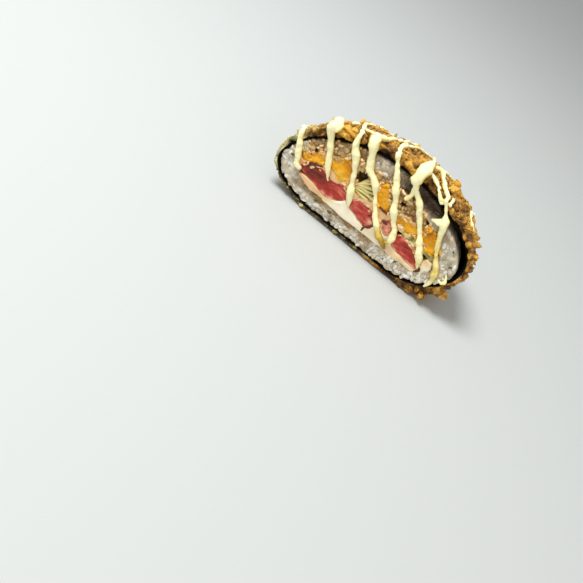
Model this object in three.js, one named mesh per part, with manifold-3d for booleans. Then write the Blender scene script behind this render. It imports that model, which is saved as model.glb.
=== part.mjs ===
// Half of a fried sushi burger: a round of rice, tuna, mango and cream cheese wrapped in seaweed,
// coated in panko, fried, cut through the middle and drizzled with mayonnaise after the cut.
// Millimetres, +Z up. The half rests on the flat of its crust, the cut faces -Y, and +X runs to
// the right along the cut. The origin is on the table under the middle of the half.
import * as THREE from "three";
import { mergeVertices } from "three/addons/utils/BufferGeometryUtils.js";
import Module from "manifold-3d";

const wasm = await Module();
wasm.setup();

// ---- Driving dimensions -------------------------------------------------------------------

const CUT_Y = -28; // the plane of the knife cut
const GAP = 0.3; // clear space between touching layers
const GRAIN_DEPTH = 0.9; // how far the rice grains stand out of the bed of rice
const NORI_THICK = 1.0; // seaweed, folded over itself in the wrap

// A round of the burger, seen in section: how far it reaches left and right of the middle, the
// height of its widest place at each end, the flat it stands on, its lowest and highest point,
// and how boxy the dome is at each end (2 is an ellipse).
const CRUST = {
  reach: [61.2, 63.3], waist: [18.5, 28], flat: [30, 42], base: 0, top: 62.2, boxy: [2.1, 2.25],
};
const NORI = {
  reach: [59.3, 59.8], waist: [18.5, 30], flat: [28, 24], base: 3, top: 57.8, boxy: [1.8, 2.15],
};
// The top layer of rice has shrunk away from the seaweed at its right end.
const RICE_TOP = {
  reach: [58, 57.4], waist: [18.5, 27], flat: [28, 32], base: 4.3, top: 55.6, boxy: [1.8, 1.8],
};
// The room between the rice layers that holds the fish, fruit and cheese.
const FILLING = {
  reach: [50, 46.8], waist: [26, 24], flat: [30, 35], base: 12.6, top: 47.5, boxy: [2, 2],
};
const SEAM = [[-80, 38.4], [80, 17.6]]; // the line along which the top rice meets the bottom rice

// Relief of the panko: full height right of the fade, and low on the left, where the crust is thin.
const CRAG = { height: 2.3, thinnest: 0.4, sunk: 0.2, cell: 5, fade: [-58, -30] };
// Clots of panko between two azimuths and two places down the side, most of them low on the right.
const LUMPS = [
  { count: 10, length: [6, 10], azimuths: [0, 0.85 * Math.PI], downs: [0.1, 0.8] },
  { count: 6, length: [8, 13], azimuths: [0, 0.2 * Math.PI], downs: [0.68, 0.84] },
];
const LUMP_SHAPE = [1, 0.75, 0.55]; // length, width and thickness of a clot over its length
const GRAIN = { length: 5.8, across: 2.6, spacing: 5 };
const CRISP = { length: 4.2, across: 2.6, spacing: 8 };
const GRAIN_TILT = 0.7; // radians between the grains that lean in and those that lean out
const SUNK = 0.15; // how far a grain's middle lies inside its bed
const TRIES = 4000; // places tried for the grains of one layer
const PROBE = 0.6; // a cube of this size at a place tests whether the layer fills it
const STRAND = { sides: 5, flat: 0.72, lift: 0.25, anchor: 3, hangingStep: 5, lyingStep: 14 };

// Sections at the cut, as [x, z]. Each runs straight back through the burger.
const TUNA = [
  [[-46.5, 20], [-43, 24], [-38, 26.8], [-33, 28], [-28.5, 26], [-25, 25.6], [-21, 28], [-16.5, 28.2],
    [-13.6, 25.5], [-13.8, 21.4], [-17.5, 18.2], [-22, 16.4], [-28, 16], [-33, 18], [-40, 18.4]],
  [[-11.6, 22], [-10.4, 25], [-6.5, 27.4], [-2, 27.2], [3, 25.8], [6.2, 22.5], [5.7, 19], [3, 16.8],
    [-1, 17.3], [-6, 19], [-10.2, 19.6]],
  [[8.6, 26.4], [10.6, 28.8], [14.4, 29.1], [17.2, 26.4], [17.4, 22.6], [15, 20.2], [12.2, 21.5], [9.8, 24]],
  [[20, 24.6], [22.5, 26.6], [27, 26.2], [32, 25.2], [36.5, 22.4], [40, 18.8], [40.2, 16.8],
    [37.5, 15.8], [33, 16.2], [27, 16.7], [21.4, 17.6], [20, 21]],
];
const MANGO = [
  [[-48.6, 25.6], [-47.4, 28.6], [-43, 30.6], [-39.5, 35], [-36.4, 35], [-33.6, 31.2], [-36, 29.5],
    [-40, 28], [-44, 25.4]],
  [[-32, 34.5], [-30.5, 37.5], [-27.2, 40.2], [-24.5, 43.6], [-21.6, 41.5], [-18.9, 37], [-18.2, 32.2],
    [-21.5, 30.2], [-26, 30.2], [-30, 32]],
  [[-3.8, 42.6], [-0.6, 43.6], [3.5, 40.5], [7.4, 36], [9.2, 32.4], [4, 31], [-0.8, 32.4], [-3.4, 37]],
  [[14.6, 34.4], [17, 36], [23, 36.4], [28, 35.4], [30, 33], [27, 31.2], [21, 30.4], [16.4, 31.2]],
  [[30.6, 40.4], [34.6, 41], [39, 37], [42, 33], [44.4, 30.2], [38.5, 29.6], [33, 31.6], [31, 36]],
];
const AVOCADO = [[18.6, 27.6], [19.4, 29.2], [25, 29.6], [31, 29.4], [38, 28.6], [44.4, 28.2],
  [44.4, 26.2], [38, 26], [32, 27], [26, 27.8]];
const CREAM = [[-45, 10], [-45, 17], [-38, 18.4], [-31, 17.6], [-24, 17], [-18, 19.4], [-14.6, 22],
  [-12, 20.6], [-5, 20], [1, 18], [4, 17.6], [6.6, 20], [8.6, 25], [11.4, 23.4], [14, 20.6],
  [18.4, 24], [20.6, 19], [25, 18.4], [33, 17.6], [38, 17.6], [40, 20], [39.4, 24], [43, 25.6],
  [46.4, 22], [45.4, 15], [45.4, 10]];
const CHILLI_MAYO = [[-48, 22], [-48, 26], [-40, 30.2], [-34, 31.6], [-27, 33], [-20, 32.6], [-12, 30.4],
  [-4, 30], [1, 32.4], [8, 32.4], [18, 31.6], [19, 25], [19, 20], [6, 19], [-12, 19], [-30, 22], [-44, 18]];
// Thin leaves of green vegetable stand in a fan: foot [x, z], lean in degrees, width, thickness.
const SHREDS = [
  [-13.6, 31.6, 62, 6.2, 1.5], [-11.6, 33, 40, 8.6, 1.4], [-9.2, 34.4, 22, 11, 1.5],
  [-6.6, 35.6, 8, 13.4, 1.5], [-8.2, 31.2, 80, 9.4, 1.6], [-4.4, 32.8, -28, 6.6, 1.5],
];
const CRISPS_FLOOR = 29.6; // the fried crumbs lie above this height

// Mayonnaise. A strand hangs in front of the cut as [x, z, width]; on the dome it lies as
// [x, y, width]. Strands that start on the dome run over the cut's edge and hang from it.
const HANGING = [
  [[-54.6, 42.4, 2.4], [-54.4, 37.6, 3], [-52, 31.6, 4], [-49.4, 25.6, 3.8], [-47, 20.8, 3.4],
    [-43.6, 20.2, 1.6]],
  [[-40.8, 57, 6.6], [-42.2, 52.2, 6.6], [-39.2, 46, 4.4], [-35.4, 38.8, 3.8], [-32.4, 32, 3.6],
    [-27.6, 24.2, 1.2]],
  [[-27.7, 60, 2.4], [-27.2, 54, 3.8], [-23.6, 47.8, 4.6], [-19.6, 41, 3.2], [-16.4, 33.6, 3.2],
    [-13.2, 26.6, 3.6], [-10.6, 20.2, 1.4]],
  [[-19.6, 60.4, 5.6], [-16.2, 53, 5], [-12.6, 45.8, 4], [-6.8, 42.2, 4.4], [-2.6, 36.4, 2.4],
    [2.4, 29.4, 2.8], [8.6, 22.2, 3.8], [15, 17, 3.6], [20.2, 13.8, 1.6]],
  [[-5.8, 62.6, 2.8], [-2.4, 57, 3], [1.6, 51.2, 3.8], [4.2, 46.8, 4.6], [7.8, 41, 3.2],
    [11, 35.6, 5], [14, 31, 3], [17.6, 26.4, 3.4], [19, 20.6, 4], [16.4, 16.4, 1.8]],
  [[9.6, 62, 6.8], [9.8, 58.6, 6.8], [10.6, 54.6, 4.8]],
  [[21.4, 61.4, 2.2], [24.6, 58.2, 2.4], [28.2, 55.8, 2.2]],
  [[28, 59, 2.6], [33, 52.4, 2.4], [35.8, 47.4, 5], [38, 41.6, 3.6], [41.4, 33.8, 2.8],
    [45.4, 28, 2.8], [49.4, 21.4, 3.8], [50, 14.6, 2], [49, 10.8, 1.4]],
  [[31, 61, 2], [31.8, 59.2, 2], [32.2, 57.4, 1.6]],
];
const BRANCHES = [ // these hang from another strand
  [[10.4, 56.4, 4], [13, 53.2, 3.8], [17.6, 49.6, 3.8], [22.8, 43.2, 3.6], [27.8, 36.6, 3.2],
    [32.6, 30, 4], [36, 25, 4.8], [38.8, 20.2, 2.6], [40.2, 17, 1.2]],
  [[11.4, 54, 3.2], [12.6, 48.6, 3.8], [10.8, 44.6, 2.2]],
  [[34.6, 48.4, 4.6], [31.4, 46.6, 3.2], [28.2, 45.2, 1.4]],
];
const LYING = [
  [[-54.6, -28, 2.4], [-55.6, -22, 2.6], [-55, -12, 2.6], [-52, -2, 2.8], [-46, 8, 2.4]],
  [[-40.8, -28, 6.6], [-40.6, -24.5, 6.2], [-41.2, -20, 4], [-43, -12, 3], [-44, 0, 3.2],
    [-39, 13, 3], [-28, 24, 2.4]],
  [[-36.6, -16, 2], [-34.4, -15, 3], [-32.2, -14.2, 2]],
  [[-27.7, -28, 2.6], [-28.6, -25, 3], [-28.8, -21.8, 3], [-30, -16, 2.8], [-31, -6, 2.8],
    [-27, 6, 2.8], [-15, 20, 2.6]],
  [[-28.2, -22.4, 2.4], [-25.4, -21.8, 2.4], [-22.4, -24, 2.8], [-20.6, -26.8, 3]],
  [[-19.6, -28, 5.6], [-15.4, -21, 3.4], [-11.6, -14, 3], [-8.6, -8, 2.6], [-8, 1, 2.6],
    [-3, 12, 2.8], [6, 24, 2.4]],
  [[-5.8, -28, 2.8], [-7.4, -21, 3], [-6.8, -14, 3], [-4.6, -8, 2.4], [-2, 2, 2.6], [6, 12, 2.6],
    [14, 23, 2.4]],
  [[9.6, -28, 7], [9.9, -24, 7.2], [10, -18.5, 6.8], [10.2, -14.6, 4.6], [10.4, -11.5, 2.6],
    [10, 0, 2.6], [8, 14, 2.8]],
  [[12.8, -21.6, 2.4], [18, -25.4, 2.4], [21.4, -28, 2.2]],
  [[12.6, -7, 2.6], [16.7, -5.4, 3.2], [18.9, -10.6, 3], [21, -18.4, 2.4], [25, -24.8, 3],
    [28, -28, 2.6]],
  [[17, -5.6, 2.6], [19, 3, 2.6], [26, 12, 2.6], [36, 20, 2]],
  [[30.2, -22, 1.6], [30.8, -25, 2], [31, -28, 2]],
  [[49.5, -22.4, 2.2], [45.7, -18.8, 2.4], [43.2, -9.6, 2.4], [44, 0, 2.6], [50, 6, 2.2]],
];

// ---- Solids -------------------------------------------------------------------------------

function seeded(seed) {
  let state = seed;
  return () => {
    state = (state + 0x6d2b79f5) | 0;
    let t = Math.imul(state ^ (state >>> 15), 1 | state);
    t = (t + Math.imul(t ^ (t >>> 7), 61 | t)) ^ t;
    return ((t ^ (t >>> 14)) >>> 0) / 2 ** 32;
  };
}

function bare(geometry) {
  geometry.deleteAttribute("normal");
  geometry.deleteAttribute("uv");
  return mergeVertices(geometry, 1e-4);
}

function solid(geometry) {
  const merged = bare(geometry);
  return new wasm.Manifold(new wasm.Mesh({
    numProp: 3,
    vertProperties: new Float32Array(merged.getAttribute("position").array),
    triVerts: new Uint32Array(merged.index.array),
  }));
}

// The largest body of a solid: scraps that a cut leaves loose are dropped.
function largest(shape) {
  return shape.decompose().sort((a, b) => b.volume() - a.volume())[0];
}

function geometryOf(shape) {
  const mesh = shape.getMesh();
  const geometry = new THREE.BufferGeometry();
  const spots = new Float32Array(mesh.numVert * 3);
  for (let i = 0; i < mesh.numVert; i++)
    for (let k = 0; k < 3; k++) spots[3 * i + k] = mesh.vertProperties[i * mesh.numProp + k];
  geometry.setAttribute("position", new THREE.BufferAttribute(spots, 3));
  geometry.setIndex(new THREE.BufferAttribute(new Uint32Array(mesh.triVerts), 1));
  geometry.computeVertexNormals();
  return geometry;
}

function grown(round, by) {
  return {
    ...round,
    reach: round.reach.map((reach) => reach + by),
    base: round.base - by,
    top: round.top + by,
  };
}

// The round's sizes in the direction of an azimuth: the left and right ends blend into each other.
function towards(round, azimuth) {
  const right = (1 + Math.cos(azimuth)) / 2;
  const blend = ([a, b]) => a + (b - a) * right;
  const blended = ["reach", "waist", "flat", "boxy"].map((name) => [name, blend(round[name])]);
  return { ...round, ...Object.fromEntries(blended) };
}

const DOME_SHARE = 0.62; // of the rings from top to bottom, the share on the dome
const CORNER_SHARE = 0.28; // and on the rounded corner under it
const CRUST_GRID = [56, 24]; // facets around and from top to bottom
const LAYER_GRID = [32, 14];
const FILLING_GRID = [28, 12];

// A point of the section: [distance from the middle, height], from the top (0) to the base (1).
function section(sizes, down) {
  const { reach, waist, flat, base, top, boxy } = sizes;
  if (down < DOME_SHARE) {
    const turn = (down / DOME_SHARE) * (Math.PI / 2);
    return [reach * Math.sin(turn) ** (2 / boxy), waist + (top - waist) * Math.cos(turn) ** (2 / boxy)];
  }
  if (down < DOME_SHARE + CORNER_SHARE) {
    const turn = ((down - DOME_SHARE) / CORNER_SHARE) * (Math.PI / 2);
    return [flat + (reach - flat) * Math.cos(turn), waist - (waist - base) * Math.sin(turn)];
  }
  return [(flat * (1 - down)) / (1 - DOME_SHARE - CORNER_SHARE), base];
}

// The height of the round's dome over a point of the table, or null outside it.
function domeHeight(round, x, y) {
  const across = Math.hypot(x, y - CUT_Y);
  const { reach, waist, top, boxy } = towards(round, Math.atan2(y - CUT_Y, x));
  if (across >= reach) return null;
  return waist + (top - waist) * (1 - (across / reach) ** boxy) ** (1 / boxy);
}

// A whole round as a closed grid. Relief moves each point out from the middle of the round, and
// leaves the flat that it stands on.
function roundSolid(round, grid, relief) {
  const geometry = bare(new THREE.SphereGeometry(1, ...grid).rotateX(Math.PI / 2));
  const spots = geometry.getAttribute("position");
  const spot = new THREE.Vector3();
  for (let i = 0; i < spots.count; i++) {
    spot.fromBufferAttribute(spots, i);
    const down = Math.acos(THREE.MathUtils.clamp(spot.z, -1, 1)) / Math.PI;
    const azimuth = Math.atan2(spot.y, spot.x);
    const sizes = towards(round, azimuth);
    const [across, height] = section(sizes, down);
    spot.set(across * Math.cos(azimuth), across * Math.sin(azimuth), height);
    if (relief && height > round.base) {
      const out = new THREE.Vector3(spot.x, spot.y, spot.z - sizes.waist).normalize();
      spot.addScaledVector(out, relief(spot));
      spot.z = Math.max(spot.z, round.base);
    }
    spots.setXYZ(i, spot.x, spot.y + CUT_Y, spot.z);
  }
  return solid(geometry);
}

const SPAN = 400; // larger than the part

function slab(fromY, toY) {
  return solid(new THREE.BoxGeometry(SPAN, toY - fromY, SPAN).translate(0, (fromY + toY) / 2, 0));
}

function behindCut(shape, setBack = 0) {
  return shape.subtract(slab(CUT_Y - SPAN / 2, CUT_Y + setBack));
}

const POINTS_PER_CORNER = 1.1; // of a rounded outline, for each point that it is drawn with
const SHORTEST_MITRE = 0.5; // keeps a widened outline's sharp corners from running far out

// A closed curve through an outline's points, as points again.
function rounded(points) {
  const corners = points.map(([x, z]) => new THREE.Vector3(x, z, 0));
  const loop = new THREE.CatmullRomCurve3(corners, true, "centripetal");
  const count = Math.round(points.length * POINTS_PER_CORNER);
  return loop.getPoints(count).slice(0, -1).map(({ x, y }) => [x, y]);
}

// An outline with each side moved outwards by a distance.
function widened(points, by) {
  const turn = Math.sign(THREE.ShapeUtils.area(points.map(([x, z]) => new THREE.Vector2(x, z))));
  const outward = ([ax, az], [bx, bz]) =>
    new THREE.Vector2(bz - az, ax - bx).multiplyScalar(turn).normalize();
  return points.map((point, i) => {
    const before = outward(points[(i + points.length - 1) % points.length], point);
    const after = outward(point, points[(i + 1) % points.length]);
    const middle = before.clone().add(after).normalize();
    const reach = by / Math.max(SHORTEST_MITRE, middle.dot(before));
    return [point[0] + middle.x * reach, point[1] + middle.y * reach];
  });
}

// A section at the cut as a bar that runs back through the burger.
function bar(points, from = CUT_Y) {
  const depth = SPAN / 2;
  const shape = new THREE.Shape(points.map(([x, z]) => new THREE.Vector2(x, z)));
  const geometry = new THREE.ExtrudeGeometry(shape, { depth, bevelEnabled: false });
  geometry.rotateX(Math.PI / 2).translate(0, from + depth, 0); // the outline's y becomes the part's z
  return solid(geometry);
}

function union(shapes) {
  return shapes.reduce((all, shape) => all.add(shape));
}

// ---- Crust, seaweed and mayonnaise --------------------------------------------------------

// Lumpy relief of the panko: the sum of two random lattices, one three times finer.
function cragRelief() {
  const random = seeded(11);
  const heights = Array.from({ length: 4096 }, () => random());
  const pick = (i, j, k) => heights[((i * 73856093) ^ (j * 19349663) ^ (k * 83492791)) & 4095];
  const lattice = (spot, cell) => pick(...spot.toArray().map((value) => Math.round(value / cell)));
  return (spot) => {
    const full = THREE.MathUtils.smoothstep(spot.x, ...CRAG.fade);
    const tall = THREE.MathUtils.lerp(CRAG.thinnest, CRAG.height, full);
    const height = (lattice(spot, CRAG.cell) + lattice(spot, CRAG.cell / 3)) / 2;
    return tall * (height - CRAG.sunk);
  };
}

// Clots of panko, each a low-sided lump half sunk in the crust.
function lumps({ count, length, azimuths, downs }, seed) {
  const random = seeded(seed);
  const between = (range) => THREE.MathUtils.lerp(...range, random());
  return Array.from({ length: count }, () => {
    const azimuth = between(azimuths);
    const [out, height] = section(towards(CRUST, azimuth), between(downs));
    const size = LUMP_SHAPE.map((share) => share * between(length));
    const lump = new THREE.IcosahedronGeometry(0.5, 0).scale(...size);
    lump.rotateX(random() * Math.PI).rotateZ(random() * Math.PI);
    const low = new THREE.Box3().setFromBufferAttribute(lump.getAttribute("position")).min.z;
    const [x, y] = [out * Math.cos(azimuth), out * Math.sin(azimuth) + CUT_Y];
    return behindCut(solid(lump.translate(x, y, Math.max(height, -low))));
  });
}

// A strand along a path, whose width changes from point to point.
function strand(path, widths, step, squash) {
  const curve = new THREE.CatmullRomCurve3(path, false, "centripetal");
  const steps = Math.max(3, Math.round(curve.getLength() / step));
  const ring = new THREE.Shape(Array.from({ length: STRAND.sides }, (_, i) => {
    const turn = (i / STRAND.sides) * 2 * Math.PI;
    return new THREE.Vector2(Math.cos(turn) / 2, Math.sin(turn) / 2);
  }));
  const tube = new THREE.ExtrudeGeometry(ring, { steps, extrudePath: curve, bevelEnabled: false });
  const geometry = bare(tube);
  const stations = curve.getSpacedPoints(steps);
  const spots = geometry.getAttribute("position");
  const spot = new THREE.Vector3();
  for (let i = 0; i < spots.count; i++) {
    spot.fromBufferAttribute(spots, i);
    let best = 0;
    stations.forEach((station, k) => {
      if (station.distanceToSquared(spot) < stations[best].distanceToSquared(spot)) best = k;
    });
    const along = curve.getUtoTmapping(best / steps) * (widths.length - 1);
    const whole = Math.min(Math.floor(along), widths.length - 2);
    const width = THREE.MathUtils.lerp(widths[whole], widths[whole + 1], along - whole);
    const offset = spot.clone().sub(stations[best]).multiplyScalar(width);
    spot.copy(stations[best]).add(offset.multiply(squash));
    spots.setXYZ(i, spot.x, spot.y, spot.z);
  }
  return solid(geometry);
}

// In front of the cut; a strand that is anchored comes over the edge from the dome.
function hangingStrand(points, anchored) {
  const [startX, , startWidth] = points[0];
  const edge = domeHeight(CRUST, startX, CUT_Y) + startWidth * STRAND.lift;
  const path = points.map(([x, z, width]) =>
    new THREE.Vector3(x, CUT_Y - GAP - (width * STRAND.flat) / 2, anchored ? Math.min(z, edge) : z));
  const widths = points.map((point) => point[2]);
  if (anchored) {
    path.unshift(new THREE.Vector3(startX, CUT_Y + STRAND.anchor, edge - startWidth / 2));
    widths.unshift(startWidth);
  }
  return strand(path, widths, STRAND.hangingStep, new THREE.Vector3(1, STRAND.flat, 1));
}

function lyingStrand(points) {
  const path = points.map(([x, y, width]) => {
    const height = domeHeight(CRUST, x, y) ?? CRUST.waist[1];
    return new THREE.Vector3(x, y, height + width * STRAND.lift);
  });
  const widths = points.map((point) => point[2]);
  return strand(path, widths, STRAND.lyingStep, new THREE.Vector3(1, 1, STRAND.flat));
}

const noriRoom = roundSolid(grown(NORI, GAP), LAYER_GRID);
const noriInside = roundSolid(grown(NORI, -NORI_THICK), LAYER_GRID);
const cavity = roundSolid(grown(NORI, -NORI_THICK - GAP), LAYER_GRID);

const shell = behindCut(roundSolid(CRUST, CRUST_GRID, cragRelief()).subtract(noriRoom));
const mayonnaise = union([
  ...HANGING.map((points) => hangingStrand(points, true)),
  ...BRANCHES.map((points) => hangingStrand(points, false)),
  ...LYING.map(lyingStrand),
]);
const insideCut = noriRoom.intersect(slab(CUT_Y - GAP, CUT_Y + SPAN / 2));
const coated = union([shell, ...LUMPS.flatMap((kind, i) => lumps(kind, 29 + i)), mayonnaise]);
const crust = largest(coated.subtract(insideCut));
const nori = largest(behindCut(roundSolid(NORI, LAYER_GRID).subtract(noriInside)));

// ---- Fillings -----------------------------------------------------------------------------

const filling = behindCut(roundSolid(FILLING, FILLING_GRID));

function inFilling(outline) {
  return filling.intersect(bar(outline));
}

// A shape with room cut out of it for bars of these outlines, and a gap round each.
function cutClear(shape, outlines) {
  return outlines.reduce((left, outline) => left.subtract(bar(widened(outline, GAP), CUT_Y - 1)), shape);
}

const tunaOutlines = TUNA.map(rounded);
const mangoOutlines = MANGO.map(rounded);
const avocadoOutline = rounded(AVOCADO);
const creamOutline = rounded(CREAM);
const mayoOutline = rounded(CHILLI_MAYO);

const tuna = tunaOutlines.map(inFilling).map(largest);
const mango = mangoOutlines.map(inFilling).map(largest);
const avocado = largest(cutClear(inFilling(avocadoOutline), [...tunaOutlines, ...mangoOutlines]));
const cream = largest(cutClear(inFilling(creamOutline), [...tunaOutlines, avocadoOutline]));

function shredOutline([x, z, lean, width, thick]) {
  const turn = THREE.MathUtils.degToRad(lean);
  const corners = [[1, 1], [1, -1], [-1, -1], [-1, 1]];
  return corners.map(([a, b]) => [
    x + (a * width * Math.sin(turn) + b * thick * Math.cos(turn)) / 2,
    z + (a * width * Math.cos(turn) - b * thick * Math.sin(turn)) / 2,
  ]);
}

const shredOutlines = SHREDS.map(shredOutline);
const leaves = union(shredOutlines.map((outline) => bar(outline)));
const shreds = largest(cutClear(filling.intersect(leaves), [...tunaOutlines, ...mangoOutlines]));

const solidOutlines = [...tunaOutlines, ...mangoOutlines, ...shredOutlines, avocadoOutline, creamOutline];
const mayoLayer = largest(cutClear(inFilling(mayoOutline), solidOutlines));
const overTheMayo = solid(new THREE.BoxGeometry(SPAN, SPAN, SPAN).translate(0, 0, CRISPS_FLOOR + SPAN / 2));
const crispsRoom = largest(cutClear(filling.intersect(overTheMayo), [...solidOutlines, mayoOutline]));

// ---- Rice and crisp crumbs ----------------------------------------------------------------

// Everything over (1) or under (-1) the seam between the two rice layers.
function seamSide(side) {
  const edge = SEAM.map(([x, z]) => [x, z + (side * GAP) / 2]);
  const far = [...SEAM].reverse().map(([x]) => [x, (side * SPAN) / 2]);
  return bar([...edge, ...far]);
}

// A grain or crumb lying against the cut, at a random slant.
function grain(size, random, x, z) {
  const shape = new THREE.SphereGeometry(0.5, 5, 3).scale(size.across, size.length, size.across);
  shape.rotateX((random() - 0.5) * GRAIN_TILT).rotateY(random() * Math.PI).rotateZ(Math.PI / 2);
  shape.rotateY((random() - 0.5) * Math.PI);
  return solid(shape.translate(x, CUT_Y + GRAIN_DEPTH + SUNK, z));
}

// A layer of grains: a bed set a little back from the cut, with the grains that show fused to it.
function grainLayer(room, size, seed) {
  const random = seeded(seed);
  const bed = behindCut(room, GRAIN_DEPTH);
  const face = slab(CUT_Y, CUT_Y + PROBE).intersect(room);
  const { min, max } = face.boundingBox();
  const kept = [];
  for (let i = 0; i < TRIES; i++) {
    const x = THREE.MathUtils.lerp(min[0], max[0], random());
    const z = THREE.MathUtils.lerp(min[2], max[2], random());
    if (kept.some(([a, b]) => Math.hypot(a - x, b - z) < size.spacing)) continue;
    const probe = solid(new THREE.BoxGeometry(PROBE, PROBE, PROBE).translate(x, CUT_Y + PROBE / 2, z));
    if (probe.intersect(face).volume() > PROBE ** 3 / 2) kept.push([x, z]);
  }
  return largest(union([bed, ...kept.map(([x, z]) => grain(size, random, x, z))]).intersect(room));
}

const riceRoom = behindCut(cavity).subtract(roundSolid(grown(FILLING, GAP), FILLING_GRID));
const topRound = roundSolid(RICE_TOP, LAYER_GRID);
const riceBottom = grainLayer(riceRoom.intersect(seamSide(-1)), GRAIN, 5);
const riceTop = grainLayer(riceRoom.intersect(topRound).intersect(seamSide(1)), GRAIN, 6);
const crisps = grainLayer(crispsRoom, CRISP, 8);

// ---- The burger ---------------------------------------------------------------------------

const LOOKS = {
  crust: { color: 0x9a6a2c, roughness: 0.85 },
  nori: { color: 0x14140f, roughness: 0.55 },
  rice: { color: 0xc9c3b4, roughness: 0.5 },
  tuna: { color: 0x98322f, roughness: 0.3 },
  mango: { color: 0xe0a024, roughness: 0.35 },
  avocado: { color: 0xc6c070, roughness: 0.45 },
  shreds: { color: 0xd0c878, roughness: 0.5 },
  cream: { color: 0xf0e6d0, roughness: 0.45 },
  chilliMayo: { color: 0xe8a878, roughness: 0.35 },
  crisps: { color: 0xb08a58, roughness: 0.8 },
};

const burger = new THREE.Group();

function place(name, shape, look) {
  const material = new THREE.MeshStandardMaterial({ ...LOOKS[look], metalness: 0 });
  const mesh = new THREE.Mesh(geometryOf(shape), material);
  mesh.name = name;
  burger.add(mesh);
}

place("panko_crust", crust, "crust");
place("nori_sheet", nori, "nori");
place("rice_bottom", riceBottom, "rice");
place("rice_top", riceTop, "rice");
place("cream_cheese", cream, "cream");
tuna.forEach((shape, i) => place("tuna_slice_" + (i + 1), shape, "tuna"));
mango.forEach((shape, i) => place("mango_piece_" + (i + 1), shape, "mango"));
place("avocado_slice", avocado, "avocado");
place("green_shreds", shreds, "shreds");
place("chilli_mayo", mayoLayer, "chilliMayo");
place("crisp_crumbs", crisps, "crisps");

export default burger;
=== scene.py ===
"""Half of a fried sushi burger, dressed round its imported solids: seaweed, rice, cream cheese, raw tuna,
mango, avocado, chilli mayonnaise and crisp crumbs, in a crust of panko with mayonnaise drizzled over it."""
import itertools
import math

import bmesh
import bpy
import numpy as np
from mathutils import Matrix, Vector
from mathutils.bvhtree import BVHTree
from mathutils.kdtree import KDTree


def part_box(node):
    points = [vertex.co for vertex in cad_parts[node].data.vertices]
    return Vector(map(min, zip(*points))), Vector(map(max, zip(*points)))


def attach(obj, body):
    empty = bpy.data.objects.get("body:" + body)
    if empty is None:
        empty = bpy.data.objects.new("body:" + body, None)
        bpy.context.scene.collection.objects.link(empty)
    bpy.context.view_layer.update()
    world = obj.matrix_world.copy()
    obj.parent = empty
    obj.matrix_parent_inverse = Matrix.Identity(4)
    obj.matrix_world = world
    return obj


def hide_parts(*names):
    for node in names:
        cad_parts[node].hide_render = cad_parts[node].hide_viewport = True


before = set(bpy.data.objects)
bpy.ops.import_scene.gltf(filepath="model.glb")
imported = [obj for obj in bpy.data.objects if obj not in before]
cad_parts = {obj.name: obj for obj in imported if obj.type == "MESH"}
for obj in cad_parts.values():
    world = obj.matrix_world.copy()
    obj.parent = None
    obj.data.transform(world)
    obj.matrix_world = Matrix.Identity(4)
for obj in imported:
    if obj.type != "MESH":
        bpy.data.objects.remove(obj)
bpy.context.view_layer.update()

# ---- Seaweed wrap --------------------------------------------------------------------------------
# A sheet of dried, toasted seaweed folded round the rice. It is almost black, with a green cast and a
# dull shine. It crinkles where the damp rice has drawn it in, and the knife leaves its edge ragged.

MM = 0.001  # the sizes below are millimetres, and Blender works in metres
CUT_Y = -28  # the plane of the knife cut
NORI_THICK = 1.0
# A round of the burger in section: reach, height of the widest place, flat underneath and boxiness of
# the dome, each as [left end, right end], and its lowest and highest point.
NORI = {
    "reach": (59.3, 59.8), "waist": (18.5, 30), "flat": (28, 24), "boxy": (1.8, 2.15), "base": 3, "top": 57.8,
}
DOME_SHARE = 0.62  # of the way down a round, the share that is dome
CORNER_SHARE = 0.28  # and the share that is the rounded corner under it
NORI_CRINKLE = ((7, 0.5), (2.5, 0.22))  # size and height of its creases
NORI_RAGGED = (1.4, 0.5)  # size and depth of the tears along its edge
NORI_GRID = (141, 91)  # points round it and down it

values = np.random.default_rng(3).random(1 << 16)


def noise(points, size, seed=0):
    """Smooth random values from 0 to 1 at points, in lumps of that size."""
    cells = np.asarray(points, float) / size + 31.7 * seed
    low = np.floor(cells).astype(np.int64)
    part = cells - low
    part = part * part * (3 - 2 * part)
    total = np.zeros(len(cells))
    for corner in itertools.product((0, 1), repeat=3):
        x, y, z = (low + corner).T
        mixed = (x * 73856093) ^ (y * 19349663) ^ (z * 83492791)
        share = np.prod(np.where(corner, part, 1 - part), axis=1)
        total += share * values[mixed & 0xFFFF]
    return total


def eased_in(value, start, end):
    """Rises smoothly from 0 at start to 1 at end."""
    share = np.clip((np.asarray(value, float) - start) / (end - start), 0, 1)
    return share * share * (3 - 2 * share)


def towards(sizes, azimuth):
    """A round's sizes in the direction of an azimuth, where its two ends blend into each other."""
    right = (1 + np.cos(azimuth)) / 2
    names = ("reach", "waist", "flat", "boxy")
    blended = {name: sizes[name][0] + (sizes[name][1] - sizes[name][0]) * right for name in names}
    return {**sizes, **blended}


def grown(sizes, by):
    """A round that is larger all over."""
    reach = tuple(value + by for value in sizes["reach"])
    return {**sizes, "reach": reach, "base": sizes["base"] - by, "top": sizes["top"] + by}


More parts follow.
